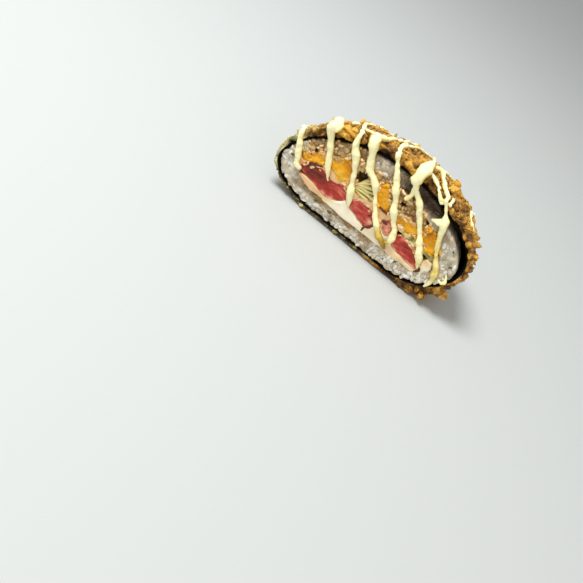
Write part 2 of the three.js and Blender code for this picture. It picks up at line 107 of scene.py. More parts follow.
def on_round(sizes, azimuth, down):
    """Points of a round, from the top of its dome (down 0) to the middle of its base (down 1)."""
    at = towards(sizes, azimuth)
    dome = np.clip(down / DOME_SHARE, 0, 1) * np.pi / 2
    corner = np.clip((down - DOME_SHARE) / CORNER_SHARE, 0, 1) * np.pi / 2
    under = np.clip((1 - down) / (1 - DOME_SHARE - CORNER_SHARE), 0, 1)
    out = at["reach"] * np.sin(dome) ** (2 / at["boxy"])
    height = at["waist"] + (at["top"] - at["waist"]) * np.abs(np.cos(dome)) ** (2 / at["boxy"])
    out = np.where(down > DOME_SHARE, at["flat"] + (at["reach"] - at["flat"]) * np.cos(corner), out)
    height = np.where(down > DOME_SHARE, at["waist"] - (at["waist"] - at["base"]) * np.sin(corner), height)
    out = np.where(down > DOME_SHARE + CORNER_SHARE, at["flat"] * under, out)
    return np.stack([out * np.cos(azimuth), out * np.sin(azimuth) + CUT_Y, height], axis=-1)


def inside(sizes, points):
    """Whether points lie in a round."""
    x, y, z = np.asarray(points, float).T
    across = np.hypot(x, y - CUT_Y)
    at = towards(sizes, np.arctan2(y - CUT_Y, x))
    up = np.clip((z - at["waist"]) / (at["top"] - at["waist"]), 0, None)
    deep = np.clip((at["waist"] - z) / (at["waist"] - at["base"]), 0, 1)
    dome = (across / at["reach"]) ** at["boxy"] + up ** at["boxy"] < 1
    corner = across < at["flat"] + (at["reach"] - at["flat"]) * np.sqrt(1 - deep**2)
    return np.where(z > at["waist"], dome, corner & (z > at["base"]))


def grid_faces(rows, columns, offset=0, flip=False):
    """The squares of a grid of points in rows."""
    first = (np.arange(rows - 1)[:, None] * columns + np.arange(columns - 1)).reshape(-1, 1) + offset
    around = [0, 1, columns + 1, columns]
    return (first + (around[::-1] if flip else around)).tolist()


def mesh_of(name, points, faces):
    """A mesh from points in millimetres."""
    mesh = bpy.data.meshes.new(name)
    mesh.from_pydata((np.asarray(points, float).reshape(-1, 3) * MM).tolist(), [], faces)
    mesh.validate()
    mesh.shade_smooth()
    return mesh


def welded(mesh):
    """A mesh with the points that lie on each other made one, and its faces turned outwards."""
    work = bmesh.new()
    work.from_mesh(mesh)
    bmesh.ops.remove_doubles(work, verts=work.verts, dist=0.001 * MM)
    bmesh.ops.dissolve_degenerate(work, edges=work.edges, dist=0.001 * MM)
    bmesh.ops.recalc_face_normals(work, faces=work.faces)
    work.to_mesh(mesh)
    work.free()
    return mesh


def spots(mesh, field="co", of="vertices"):
    """A mesh's points in millimetres, or its normals."""
    found = np.empty(len(mesh.vertices) * 3, np.float32)
    getattr(mesh, of).foreach_get(field, found)
    return found.reshape(-1, 3) / (MM if field == "co" else 1)


def placed(mesh, points):
    """Moves a mesh's points to new places in millimetres."""
    mesh.vertices.foreach_set("co", (np.asarray(points) * MM).astype(np.float32).ravel())
    mesh.update()
    return mesh


def linear(code):
    """An sRGB hex colour as linear RGBA."""
    shares = [int(code[i : i + 2], 16) / 255 for i in (1, 3, 5)]
    return [s / 12.92 if s <= 0.04045 else ((s + 0.055) / 1.055) ** 2.4 for s in shares] + [1]


def add(tree, kind, sockets=None, stops=None, out=0, **settings):
    """Adds a node and returns an output of it, its first unless out names one. A socket is given a value
    or is linked to an output, and stops are a ramp's places and colours."""
    made = tree.nodes.new("ShaderNode" + kind)
    for name, value in settings.items():
        setattr(made, name, value)
    for name, value in (sockets or {}).items():
        if isinstance(value, bpy.types.NodeSocket):
            tree.links.new(value, made.inputs[name])
        else:
            made.inputs[name].default_value = value
    for i, (place, code) in enumerate(stops or ()):
        element = made.color_ramp.elements[i] if i < 2 else made.color_ramp.elements.new(place)
        element.position = place
        element.color = linear(code)
    return made.outputs[out] if made.outputs else None


def surface(name):
    """The empty node tree of a new material."""
    material = bpy.data.materials.new(name)
    material.use_nodes = True
    material.node_tree.nodes.clear()
    return material.node_tree


def in_scene(name, data):
    """A new object in the scene, made of a mesh, a lamp or a camera."""
    made = bpy.data.objects.new(name, data)
    bpy.context.scene.collection.objects.link(made)
    return made


def piece(name, mesh, tree, slot, *nodes):
    """Puts a mesh in the scene with its material, on the burger's body, in place of CAD nodes."""
    made = in_scene(name, mesh)
    material = next(m for m in bpy.data.materials if m.node_tree == tree)
    mesh.materials.clear()
    mesh.materials.append(material)
    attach(made, "root")
    if nodes:
        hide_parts(*nodes)


columns, rows = NORI_GRID
azimuths, downs = np.meshgrid(np.linspace(0, np.pi, columns), np.linspace(0, 1, rows))
skins = [on_round(grown(NORI, by), azimuths, downs).reshape(-1, 3) for by in (0, -NORI_THICK)]
outward = skins[0] - skins[1]
outward /= np.linalg.norm(outward, axis=1)[:, None]
crinkle = sum(height * (noise(skins[0], size) - 0.5) for size, height in NORI_CRINKLE)
at_cut = np.isin(azimuths.ravel(), (0, np.pi))
ragged = NORI_RAGGED[1] * (noise(skins[0], NORI_RAGGED[0], 2) - 0.2) * at_cut
sheet = [skin + outward * crinkle[:, None] + np.outer(ragged, (0, 1, 0)) for skin in skins]
count = columns * rows
faces = grid_faces(rows, columns) + grid_faces(rows, columns, count, flip=True)
for column in (0, columns - 1):
    line = [row * columns + column for row in range(rows)]
    faces += [[a, b, b + count, a + count] for a, b in zip(line, line[1:])]
nori_mesh = welded(mesh_of("nori_wrap", np.concatenate(sheet), faces))

# Toasted seaweed: a dull sheen over near black, with a dark green cast where the sheet is thinnest.
seaweed = surface("toasted seaweed")
mottle = add(seaweed, "TexNoise", {"Scale": 1 / (2.5 * MM), "Detail": 4})
cast = add(seaweed, "ValToRGB", {"Fac": mottle}, [(0.35, "#010201"), (0.7, "#080a06")])
fibre = add(seaweed, "TexNoise", {"Scale": 1 / (0.6 * MM), "Detail": 3})
creased = add(seaweed, "Bump", {"Height": fibre, "Strength": 0.4, "Distance": 0.2 * MM})
dull = {"Base Color": cast, "Normal": creased, "Roughness": 0.8, "IOR": 1.15}
add(seaweed, "OutputMaterial", {"Surface": add(seaweed, "BsdfPrincipled", dull)})
piece("nori_wrap", nori_mesh, seaweed, "nori", "nori_sheet")

# ---- Rice ----------------------------------------------------------------------------------------
# Short-grain sushi rice, steamed and pressed. The grains are plump and a little see-through, stick to
# each other, and lie every way. The knife slices those that stand in its way flat.

GRAIN = np.array((5.4, 2.6, 2.34))  # length, width and thickness
GRAIN_STRETCH = (0.82, 1.12)
GRAIN_SPACING = 1.75  # between the middles of neighbouring grains
GRAIN_DEPTHS = (0.9, 1.9)  # of their middles behind the face of the rice
GRAIN_DIP = 0.25  # how far they point into or out of the face
GRAIN_OVERHANG = {"rice_under": 2.0, "rice_over": 0.5}  # how far they may reach over their layer's border
GRAIN_FORWARD = 0.5  # how far the under layer swells over the seaweed's edge at the right
GRAIN_SIDES, GRAIN_RINGS = 10, 7
GRAIN_TONES = (0.7, 1.35)
BED_TONE = 0.85  # of the pressed rice between the grains
BED_SWELL = 0.4
WELL_IN = (0.7, 99)  # depths in a solid that keep clear of its border
FACING = (0, -1, 0.3)  # out of the cut and a little up, as what lies flat on the cut faces
SLICE_WOBBLE = 0.7  # how far the knife strays from its plane
PROBE_DEPTH = 5  # behind the cut, where a solid's border is looked for
FACE_ENDS = (3, 8)  # behind the cut, where a face that is set back runs out
SHRUNK = 5.5  # how far the top rice has drawn back from the cut at its upper right
FLECKS = (  # [x, z, length] of the dark flecks in the rice
    (53, 30.4, 2.2), (43.2, 11.6, 1.8), (22.2, 8.6, 1.9), (28.4, 11.4, 2.4), (-17.6, 9.8, 2.8),
    (-27.4, 10.4, 2.6), (-27.6, 47.4, 1.8), (-16.6, 47.6, 2.2), (-14.4, 6.2, 1.2), (35.6, 8, 1.4),
    (48.6, 38.6, 1.3), (-52.6, 23.4, 2.4),
)


def worked(draft, name):
    """The mesh that a draft's modifiers make of it. The draft itself goes."""
    made = bpy.data.meshes.new_from_object(draft.evaluated_get(bpy.context.evaluated_depsgraph_get()))
    bpy.data.objects.remove(draft)
    made.name = name
    made.shade_smooth()
    return made


def remeshed(name, mesh, voxel, rounds=2):
    """A closed mesh made again of even squares, with its corners softened."""
    draft = in_scene(name + "_draft", mesh)
    even = draft.modifiers.new("even", "REMESH")
    even.mode = "VOXEL"
    even.voxel_size = voxel * MM
    soft = draft.modifiers.new("soft", "SMOOTH")
    soft.iterations = rounds
    return worked(draft, name)


def softened(name, node, voxel, swell, rounds=2):
    """A CAD node's solid made again of even squares and swollen to press against its neighbours."""
    made = remeshed(name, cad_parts[node].data.copy(), voxel, rounds)
    return placed(made, spots(made) + swell * spots(made, "vector", "vertex_normals"))


def relief(mesh, lumps, seed, sink=0.5):
    """Moves a mesh's points along their normals by lumps of given sizes and heights."""
    points = spots(mesh)
    lift = sum(height * (noise(points, size, seed + i) - sink) for i, (size, height) in enumerate(lumps))
    return placed(mesh, points + lift[:, None] * spots(mesh, "vector", "vertex_normals"))


def tree_of(node):
    """A tree in which the border of a CAD node's solid is looked up."""
    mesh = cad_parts[node].data
    mesh.calc_loop_triangles()
    corners = [list(triangle.vertices) for triangle in mesh.loop_triangles]
    return BVHTree.FromPolygons([Vector(p) for p in spots(mesh).tolist()], corners)


def within(tree, point):
    """Whether a point lies in the solid of a tree: a ray out of it then crosses an odd number of faces."""
    away = Vector((0.013, 1, 0.007)).normalized()
    start = Vector(point)
    crossed = 0
    while True:
        hit = tree.ray_cast(start, away)[0]
        if hit is None:
            return crossed % 2 == 1
        crossed += 1
        start = hit + 0.001 * away


def strewn(node, spacing, depths, seed, tries=9000):
    """Places at the cut, no closer than a spacing, that lie between two depths in a node's solid (less than
    0 is outside), in columns [x, z, distance to the solid's border, direction of the border]."""
    random = np.random.default_rng(seed)
    tree = tree_of(node)
    low, high = (np.array(corner)[[0, 2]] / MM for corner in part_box(node))
    spare = max(0, -depths[0])
    kept = np.empty((4, tries))
    total = 0
    for x, z in random.uniform(low - spare, high + spare, (tries, 2)):
        if total and np.min(np.hypot(kept[0, :total] - x, kept[1, :total] - z)) < spacing:
            continue
        probe = Vector((x, CUT_Y + PROBE_DEPTH, z))
        near, _, _, gap = tree.find_nearest(probe)
        if depths[0] < (gap if within(tree, probe) else -gap) < depths[1]:
            kept[:, total] = x, z, gap, math.atan2(near.z - z, near.x - x)
            total += 1
    return kept[:, :total]


def egg(sides, rings):
    """A closed round shape, one across each way, as points and faces."""
    turns = np.linspace(0, 2 * np.pi, sides, endpoint=False)
    falls = np.linspace(0, np.pi, rings + 1)[1:-1]
    body = [(math.cos(f), math.sin(f) * math.cos(t), math.sin(f) * math.sin(t)) for f in falls for t in turns]
    points = np.array([(1, 0, 0)] + body + [(-1, 0, 0)]) / 2
    last = len(points) - 1
    faces = []
    for i in range(sides):
        j = (i + 1) % sides
        faces.append([0, 1 + i, 1 + j])
        faces.append([last, last - sides + j, last - sides + i])
        for ring in range(rings - 2):
            a = 1 + ring * sides
            faces.append([a + i, a + sides + i, a + sides + j, a + j])
    return points, faces


def frames(along, up):
    """Turned axes: each row's first axis follows along, and its third is as near to up as it can be."""
    along = along / np.linalg.norm(along, axis=1)[:, None]
    side = np.cross(up, along)
    side /= np.linalg.norm(side, axis=1)[:, None]
    return np.stack([along, side, np.cross(along, side)], axis=-1)


def copies(shapes, faces, turns, sizes, places):
    """Many copies of a few shapes as the points and faces of one mesh. Shapes all share their faces."""
    picked = shapes[np.arange(len(places)) % len(shapes)] * sizes[:, None, :]
    points = np.einsum("nij,nvj->nvi", turns, picked) + places[:, None, :]
    per = shapes.shape[1]
    joined = [[corner + i * per for corner in face] for i in range(len(places)) for face in faces]
    return points, joined


def together(parts):
    """Several sets of points and faces as one."""
    points, faces = [], []
    shift = 0
    for some_points, some_faces in parts:
        points.append(np.asarray(some_points).reshape(-1, 3))
        faces += [[corner + shift for corner in face] for face in some_faces]
        shift += len(points[-1])
    return np.concatenate(points), faces


def polygons(mesh):
    """A mesh's faces, as lists of its points."""
    return [list(polygon.vertices) for polygon in mesh.polygons]


def toned(mesh, tones, name="tone"):
    """Stores a value for each point of a mesh, which its material reads."""
    layer = mesh.attributes.new(name, "FLOAT", "POINT")
    layer.data.foreach_set("value", np.asarray(tones, np.float32).ravel())
    return mesh


def knife(points, wobble, set_back=0):
    """Flattens what stands in front of the knife cut, which strays a little."""
    stray = wobble * (noise(points * (1, 0, 1), 4, 5) - 0.5)
    cut = points.copy()
    cut[:, 1] = np.maximum(cut[:, 1], CUT_Y + stray + set_back)
    return cut


def shrunk_back(x, z):
    """How far the face of the top rice stands behind the cut."""
    return SHRUNK * eased_in(x, 0, 12) * eased_in(z, 43.5, 49.5)


def face_of(name, x, z):
    """How far a rice layer's face stands behind the cut."""
    return shrunk_back(x, z) if name == "rice_over" else -GRAIN_FORWARD * eased_in(x, -15, 10)


def at_face(y):
    """1 at the cut, and 0 well behind it."""
    return 1 - eased_in(y, CUT_Y + FACE_ENDS[0], CUT_Y + FACE_ENDS[1])


def stain_of(name, x, z):
    """How far a rice layer is stained: near the crumbs, the crust and the wet filling."""
    if name == "rice_over":
        return 0.85 * eased_in(-x, 10, 26) * eased_in(z, 30, 36) + 0.45 * (1 - eased_in(x, 38, 46))
    return 0.15 + 0.75 * eased_in(z, 8, 11.5) * eased_in(-x, -25, 0) * eased_in(x, -46, -38)


def sinking(share, reach, depth):
    """Settings for light that sinks in: how much, how far by colour, and the depth in millimetres."""
    return {"Subsurface Weight": share, "Subsurface Radius": reach, "Subsurface Scale": depth * MM}


# Steamed rice: soft and waxy, with light that sinks in a little, so that shaded grains look grey. Sauce
# and frying oil have stained it tan near the crumbs and the crust. Where the top rice has drawn back at its
# upper right, it is painted darker grey-brown as shade under the crust.
rice = surface("steamed sushi rice")
tone = add(rice, "Attribute", out="Fac", attribute_name="tone")
stained = add(rice, "Attribute", out="Fac", attribute_name="stain")
cloud = add(rice, "TexNoise", {"Scale": 1 / (1.8 * MM), "Detail": 2})
blend = add(rice, "Math", {0: tone, 1: cloud}, operation="MULTIPLY")
starch = add(rice, "ValToRGB", {"Fac": blend}, [
    (0.18, "#6e6260"), (0.32, "#a3937e"), (0.44, "#dccdae"), (0.58, "#fffaee"),
])
oily = add(
    rice, "MixRGB", {"Fac": stained, "Color1": starch, "Color2": linear("#9c7c44")}, blend_type="MULTIPLY"
)
# Painted shade: the top rice is darkened grey-brown where its face has drawn back under the crust.
shaded = add(rice, "Attribute", out="Fac", attribute_name="shade")
painted_recess_shade = add(
    rice, "MixRGB", {"Fac": shaded, "Color1": oily, "Color2": linear("#7f7068")}, blend_type="MULTIPLY"
)
waxy = {"Base Color": painted_recess_shade, "Roughness": 0.4, "IOR": 1.4} | sinking(0.5, (1, 0.8, 0.6), 1.2)
add(rice, "OutputMaterial", {"Surface": add(rice, "BsdfPrincipled", waxy)})

grain_shape, grain_faces = egg(GRAIN_SIDES, GRAIN_RINGS)
for name, node, seed in (("rice_under", "rice_bottom", 21), ("rice_over", "rice_top", 22)):
    random = np.random.default_rng(seed)
    x, z, gap, border = strewn(node, GRAIN_SPACING, WELL_IN, seed)
    total = len(x)
    face_back = face_of(name, x, z)
    middles = np.stack([x, CUT_Y + face_back + random.uniform(*GRAIN_DEPTHS, total), z], axis=1)
    stretch = random.uniform(*GRAIN_STRETCH, total)
    # Near the border a grain can only turn until its tip reaches the overhang.
    free = np.arcsin(np.clip(2 * (gap + GRAIN_OVERHANG[name]) / (GRAIN[0] * stretch), 0, 1))
    slant = border + np.pi / 2 + free * random.uniform(-1, 1, total)
    along = np.stack([np.cos(slant), random.normal(0, GRAIN_DIP, total), np.sin(slant)], axis=1)
    size = stretch[:, None] * GRAIN * random.uniform(0.9, 1.1, (total, 3))
    points, faces = copies(grain_shape[None], grain_faces, frames(along, FACING), size, middles)
    tones = np.repeat(random.uniform(*GRAIN_TONES, total), points.shape[1])
    points = points.reshape(-1, 3)
    points = knife(points, SLICE_WOBBLE, face_of(name, points[:, 0], points[:, 2]))
    bed = relief(softened(name, node, 0.8, BED_SWELL), ((2.2, 0.7),), 23)
    bed_points = spots(bed)
    if name == "rice_over":
        bed_points[:, 1] += shrunk_back(bed_points[:, 0], bed_points[:, 2]) * at_face(bed_points[:, 1])
    mesh = mesh_of(name, *together([(bed_points, polygons(bed)), (points, faces)]))
    toned(mesh, np.concatenate([np.full(len(bed_points), BED_TONE), tones]))
    x, _, z = spots(mesh).T
    stain = stain_of(name, x, z) + 0.8 * (noise(spots(mesh), 5, 24) - 0.45)
    toned(mesh, np.clip(stain, 0, 0.9), "stain")
    # The shade attribute paints the recess at the top rice's upper right darker, as shade under the crust.
    toned(mesh, shrunk_back(x, z) / SHRUNK * (name == "rice_over"), "shade")
    piece(name, mesh, rice, "rice", node)

# Flecks of burnt rice and seaweed: flat, dark and dull.
fleck = surface("dark flecks")
scrap = add(fleck, "TexNoise", {"Scale": 1 / (1 * MM), "Detail": 2})
drab = add(fleck, "ValToRGB", {"Fac": scrap}, [(0.4, "#38361a"), (0.6, "#67622f")])
flat = {"Base Color": drab, "Roughness": 0.5, "IOR": 1.45}
add(fleck, "OutputMaterial", {"Surface": add(fleck, "BsdfPrincipled", flat)})
random = np.random.default_rng(25)
total = len(FLECKS)
x, z, length = np.array(FLECKS).T
slant = random.uniform(0, np.pi, total)
along = np.stack([np.cos(slant), np.full(total, 0.1), np.sin(slant)], axis=1)
size = length[:, None] * (1, 0.55, 0.3)
middles = np.stack([x, np.full(total, CUT_Y - 0.1), z], axis=1)
points, faces = copies(grain_shape[None], grain_faces, frames(along, (0, -1, 0)), size, middles)
flecks = relief(mesh_of("rice_flecks", points, faces), ((0.7, 0.5),), 26)
piece("rice_flecks", flecks, fleck, "rice")

# ---- Cream cheese --------------------------------------------------------------------------------
# A thick band of soft cream cheese on the bottom rice. The knife has smeared it, and sauce from above
# has stained it peach in places. It is off-white and smooth, with a soft shine.

CHEESE_SMEAR = ((6, 1.0), (1.6, 0.3))
CHEESE_STAINS = (  # [x, z, radius, strength]
    (-44, 17, 5, 0.8), (-36, 15.5, 5, 0.6), (-28, 15.5, 5, 0.7), (-22, 17.5, 3, 0.5), (2, 18, 3, 0.5),
    (8, 16, 4, 0.25), (21, 14, 5, 0.5), (30, 13.5, 5, 0.5), (38, 17, 4, 0.5), (42, 24, 2.5, 0.6),
)


def dabs(mesh, table):
    """Adds up soft round dabs, given as [x, z, radius, strength], at each point of a mesh."""
    points = spots(mesh)
    return sum(
        strength * np.exp(-((points[:, 0] - x) ** 2 + (points[:, 2] - z) ** 2) / radius**2)
        for x, z, radius, strength in table
    )


# Cream cheese: fat that light sinks into, so it looks soft and warm, with a fine curd in its shine.
cream = surface("soft cream cheese")
stained = add(cream, "Attribute", out="Fac", attribute_name="stain")
blotch = add(cream, "TexNoise", {"Scale": 1 / (3 * MM), "Detail": 4, "Distortion": 0.6})
soak = add(cream, "Math", {0: stained, 1: blotch}, operation="MULTIPLY")
milk = add(cream, "ValToRGB", {"Fac": soak}, [
    (0.03, "#faf0d6"), (0.18, "#f0d8ac"), (0.45, "#e2ac78"),
])
curd = add(cream, "TexNoise", {"Scale": 1 / (0.9 * MM), "Detail": 3})
grainy = add(cream, "Bump", {"Height": curd, "Strength": 0.3, "Distance": 0.25 * MM})
smooth_fat = {"Base Color": milk, "Normal": grainy, "Roughness": 0.34, "IOR": 1.45}
smooth_fat |= sinking(0.4, (1, 0.75, 0.5), 1.2)
add(cream, "OutputMaterial", {"Surface": add(cream, "BsdfPrincipled", smooth_fat)})
cheese = relief(softened("cream_band", "cream_cheese", 0.7, 0.25), CHEESE_SMEAR, 31)
toned(cheese, np.clip(dabs(cheese, CHEESE_STAINS), 0, 1), "stain")
piece("cream_band", cheese, cream, "cream_cheese", "cream_cheese")

# ---- Raw tuna ------------------------------------------------------------------------------------
# Slices of raw tuna, laid end to end on the cream cheese. The flesh is deep red, wet and a little
# see-through, browner at the left where it has dried, and paler along the edge that lies on the cheese.

TUNA_RELIEF = ((4, 0.8), (1.3, 0.35))
TUNA_TONE = 0.45
TUNA_PALE_EDGE = (0.3, 1.3)  # how much paler it is along its lower edge, and in how wide a line
TUNA_TONES = (  # [x, z, radius, strength], where the flesh is paler or darker
    (-41, 22, 5, -0.3), (-34, 24, 5, -0.3), (-28, 22.5, 4, -0.16), (-18, 25.5, 3, 0.2),
    (-42.8, 18.6, 2.2, 0.3), (-34, 17.6, 2.4, 0.2), (-27, 16.4, 2.6, 0.25), (-21, 16.8, 2.2, 0.3),
    (-24, 24, 3, 0.08), (-8, 22.5, 4, 0.12), (0, 24, 3, 0.08), (3.9, 21, 1.9, 0.5), (13.5, 25, 5, 0.32),
    (23, 17.6, 2, 0.3), (28, 16.4, 2.2, 0.35), (34, 15.8, 2.2, 0.35), (38, 16.6, 2, 0.3),
    (24, 26, 1.5, 0.3), (31, 25.2, 1.5, 0.35), (27, 22, 3, -0.08),
)


def edging(mesh, node, width):
    """How near each point is to the lower border of a node's solid: 1 on it, 0 from a width inwards."""
    tree = tree_of(node)
    found = np.zeros(len(mesh.vertices))
    for i, (x, _, z) in enumerate(spots(mesh).tolist()):
        near, _, _, gap = tree.find_nearest(Vector((x, CUT_Y + PROBE_DEPTH, z)))
        found[i] = max(0, 1 - gap / width) * (near.z < z)
    return found


def mottled(tree, amount, *patterns, middle=0.5):
    """The tone stored on a mesh, made uneven by an amount of some patterns round their middle."""
    tone = add(tree, "Attribute", out="Fac", attribute_name="tone")
    total = patterns[0]
    for pattern in patterns[1:]:
        total = add(tree, "Math", {0: total, 1: pattern}, operation="ADD")
    shift = -amount * middle * len(patterns)
    uneven = add(tree, "Math", {0: total, 1: amount, 2: shift}, operation="MULTIPLY_ADD")
    return add(tree, "Math", {0: tone, 1: uneven}, operation="ADD")


# Raw fish: wet, so it shines in small spots, and red light comes back out of it, along its sinews.
flesh = surface("raw tuna")
place = add(flesh, "TexCoord", out="Object")
lean = add(flesh, "Mapping", {"Vector": place, "Rotation": (0, 0.35, 0), "Scale": (0.4, 0.3, 1)})
sinews = add(flesh, "TexNoise", {"Vector": lean, "Scale": 1 / (1.6 * MM), "Detail": 3})
mottle = add(flesh, "TexNoise", {"Scale": 1 / (4 * MM), "Detail": 4, "Distortion": 0.5})
level = mottled(flesh, 0.95, sinews, mottle)
meat = add(flesh, "ValToRGB", {"Fac": level}, [
    (0.0, "#481404"), (0.2, "#84260c"), (0.4, "#a62c1c"),
    (0.58, "#bd3e34"), (0.78, "#d8806a"), (1.0, "#f2c8a4"),
])
fibres = add(flesh, "TexNoise", {"Vector": lean, "Scale": 1 / (0.5 * MM), "Detail": 3})
grooved = add(flesh, "Bump", {"Height": fibres, "Strength": 0.35, "Distance": 0.25 * MM})
wet = {"Base Color": meat, "Normal": grooved, "Roughness": 0.22, "IOR": 1.4}
wet |= sinking(0.3, (1, 0.25, 0.2), 1.2)
add(flesh, "OutputMaterial", {"Surface": add(flesh, "BsdfPrincipled", wet)})
tuna_nodes = sorted(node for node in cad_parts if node.startswith("tuna_slice"))
for i, node in enumerate(tuna_nodes):
    fish = relief(softened(f"tuna_{i + 1}", node, 0.6, 0.2), TUNA_RELIEF, 40 + i)
    edge = TUNA_PALE_EDGE[0] * edging(fish, node, TUNA_PALE_EDGE[1])
    toned(fish, TUNA_TONE + dabs(fish, TUNA_TONES) + edge)
    piece(f"tuna_{i + 1}", fish, flesh, "tuna", node)

# ---- Soy streaks ---------------------------------------------------------------------------------
# The fish was dipped in dark soy sauce, which has thickened to brown streaks along its edges and round
# the curled end of the second slice. They are thin, smooth and glossy.

SOY_LIES = 0.15  # in front of the cut
STRAND_THICK = 0.72  # the thickness of a strand over its width
STRAND_SIDES = 12
SOY = (  # [x, z, width] along each streak
    ((1.2, 23, 0.7), (1.8, 24.9, 1.1), (4, 25.6, 1.4), (6.2, 22.9, 1.5), (6.1, 19.6, 1.3), (4, 17.3, 1.2),
     (1.6, 16.9, 0.8)),
    ((3.4, 17.2, 1.1), (3, 15.2, 1), (3, 13.2, 0.6)),
    ((38, 21.4, 0.8), (39.6, 18.9, 1.3), (41.9, 17.6, 1.2)),
    ((41.8, 17.7, 1.2), (40.7, 15.8, 1.4), (39.2, 14.2, 0.7)),
    ((-44.2, 24.5, 0.7), (-41.4, 26, 1.3), (-38, 27.9, 1.3), (-34, 29.4, 0.7)),
    ((1.4, 31.4, 0.6), (4, 31.9, 1.2), (7, 31.7, 1.3), (9.8, 31, 0.6)),
    ((17.8, 27, 0.6), (18, 25, 1.1), (17.3, 22.8, 0.6)),
    ((9, 26.2, 1.1), (10.8, 27, 2.2), (12.5, 26.3, 1)),
)


def eased(points, step):
    """Even steps along a smooth curve through points. The last column, a width, is carried along."""
    points = np.array(points, float)
    spans = np.linalg.norm(np.diff(points[:, :-1], axis=0), axis=1)
    at = np.concatenate([[0], np.cumsum(spans)])
    slopes = np.gradient(points, at, axis=0)
    wanted = np.linspace(0, at[-1], max(4, round(at[-1] / step)))
    i = np.clip(np.searchsorted(at, wanted, side="right") - 1, 0, len(spans) - 1)
    t = ((wanted - at[i]) / spans[i])[:, None]
    span = spans[i][:, None]
    start = (2 * t**3 - 3 * t**2 + 1) * points[i] + (t**3 - 2 * t**2 + t) * span * slopes[i]
    end = (3 * t**2 - 2 * t**3) * points[i + 1] + (t**3 - t**2) * span * slopes[i + 1]
    return start + end


def tube_faces(rings, around):
    """The squares between the rings of a tube, from its first ring to its last."""
    faces = []
    for ring in range(rings - 1):
        for k in range(around):
            a, b = ring * around + k, ring * around + (k + 1) % around
            faces.append([a, b, b + around, a + around])
    return faces


def strand(path, widths, outs):
    """A closed tube along a path: flattened the way outs points, with round ends."""
    ahead = np.gradient(path, axis=0)
    ahead /= np.linalg.norm(ahead, axis=1)[:, None]
    side = np.cross(ahead, outs)
    side /= np.linalg.norm(side, axis=1)[:, None]
    out = np.cross(side, ahead)
    gone = np.concatenate([[0], np.cumsum(np.linalg.norm(np.diff(path, axis=0), axis=1))])
    end = np.minimum(gone, gone[-1] - gone)
    near = np.clip(end / (widths / 2), 0, 1)
    widths = widths * (0.25 + 0.75 * np.sqrt(1 - (1 - near) ** 2))
    turn = np.linspace(0, 2 * np.pi, STRAND_SIDES, endpoint=False)
    ring = side[:, None] * np.cos(turn)[:, None] + STRAND_THICK * out[:, None] * np.sin(turn)[:, None]
    rings = path[:, None] + ring * widths[:, None, None] / 2
    points = np.concatenate([rings.reshape(-1, 3), path[:1], path[-1:]])
    faces = tube_faces(len(path), STRAND_SIDES)
    last = (len(path) - 1) * STRAND_SIDES
    for k in range(STRAND_SIDES):
        after = (k + 1) % STRAND_SIDES
        faces.append([after, k, len(points) - 2])
        faces.append([last + k, last + after, len(points) - 1])
    return points, faces


# Thickened soy sauce: a dark brown syrup with a sharp shine.
soy = surface("soy sauce")
syrup = add(soy, "TexNoise", {"Scale": 1 / (2 * MM), "Detail": 2})
brew = add(soy, "ValToRGB", {"Fac": syrup}, [(0.35, "#3a1507"), (0.65, "#7c3a1c")])
slick = {"Base Color": brew, "Roughness": 0.22, "IOR": 1.4}
add(soy, "OutputMaterial", {"Surface": add(soy, "BsdfPrincipled", slick)})
streaks = []
for line in SOY:
    x, z, width = eased(line, 0.4).T
    path = np.stack([x, np.full(len(x), CUT_Y - SOY_LIES), z], axis=1)
    width = width * (0.9 + 0.7 * noise(path, 1.2, 48))
    streaks.append(strand(path, width, (0, -1, 0.01)))
piece("soy_streaks", mesh_of("soy_streaks", *together(streaks)), soy, "tuna")

# ---- Mango ---------------------------------------------------------------------------------------
# Ripe mango cut in rough pieces and laid over the fish. It is orange-yellow, moist and stringy, painted
# darker in patches as shade and paler where the knife has torn it.

MANGO_RELIEF = ((3.2, 1.9), (1.4, 1.0))
MANGO_TONE = 0.56
MANGO_TONES = (  # [x, z, radius, strength], where the fruit is paler or darker; the darker places are painted shade
    (-43, 29, 3.5, 0.12), (-47.2, 26.4, 2.4, -0.2), (-37.5, 33.5, 2.2, 0.1), (-21, 40, 4.5, -0.32),
    (-26, 41, 2.5, -0.15), (-25, 30.8, 3, 0.3), (-20, 31.6, 2, 0.2), (-1, 42.6, 3, -0.14),
    (8.6, 33.4, 2.4, -0.42), (4, 37, 3, 0.06), (15.6, 33.6, 3, -0.2), (20, 31, 2.5, -0.08),
    (27, 34, 3, 0.1), (32.6, 38.6, 4.2, -0.42), (39, 32, 4, 0.04), (43, 30.4, 1.8, -0.14),
)

# Ripe fruit flesh: moist, orange light comes back out of it, and its strings break up the shine.
fruit = surface("ripe mango")
pulp = add(fruit, "TexNoise", {"Scale": 1 / (2.4 * MM), "Detail": 5, "Distortion": 0.8})
level = mottled(fruit, 1.6, pulp)
orange = add(fruit, "ValToRGB", {"Fac": level}, [
    (0.0, "#6a3002"), (0.2, "#b46a02"), (0.4, "#dc9604"),
    (0.6, "#f4b012"), (0.8, "#fac53c"), (1.0, "#fae08e"),
])
strings = add(fruit, "TexNoise", {"Scale": 1 / (0.8 * MM), "Detail": 3})
stringy = add(fruit, "Bump", {"Height": strings, "Strength": 0.45, "Distance": 0.3 * MM})
moist = {"Base Color": orange, "Normal": stringy, "Roughness": 0.34, "IOR": 1.36}
moist |= sinking(0.3, (1, 0.5, 0.1), 1)
add(fruit, "OutputMaterial", {"Surface": add(fruit, "BsdfPrincipled", moist)})
mango_nodes = sorted(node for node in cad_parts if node.startswith("mango_piece"))
for i, node in enumerate(mango_nodes):
    chunk = relief(softened(f"mango_{i + 1}", node, 0.6, 0.25), MANGO_RELIEF, 50 + i)
    # Negative dabs paint shade on the fruit.
    toned(chunk, MANGO_TONE + dabs(chunk, MANGO_TONES))
    piece(f"mango_{i + 1}", chunk, fruit, "mango", node)
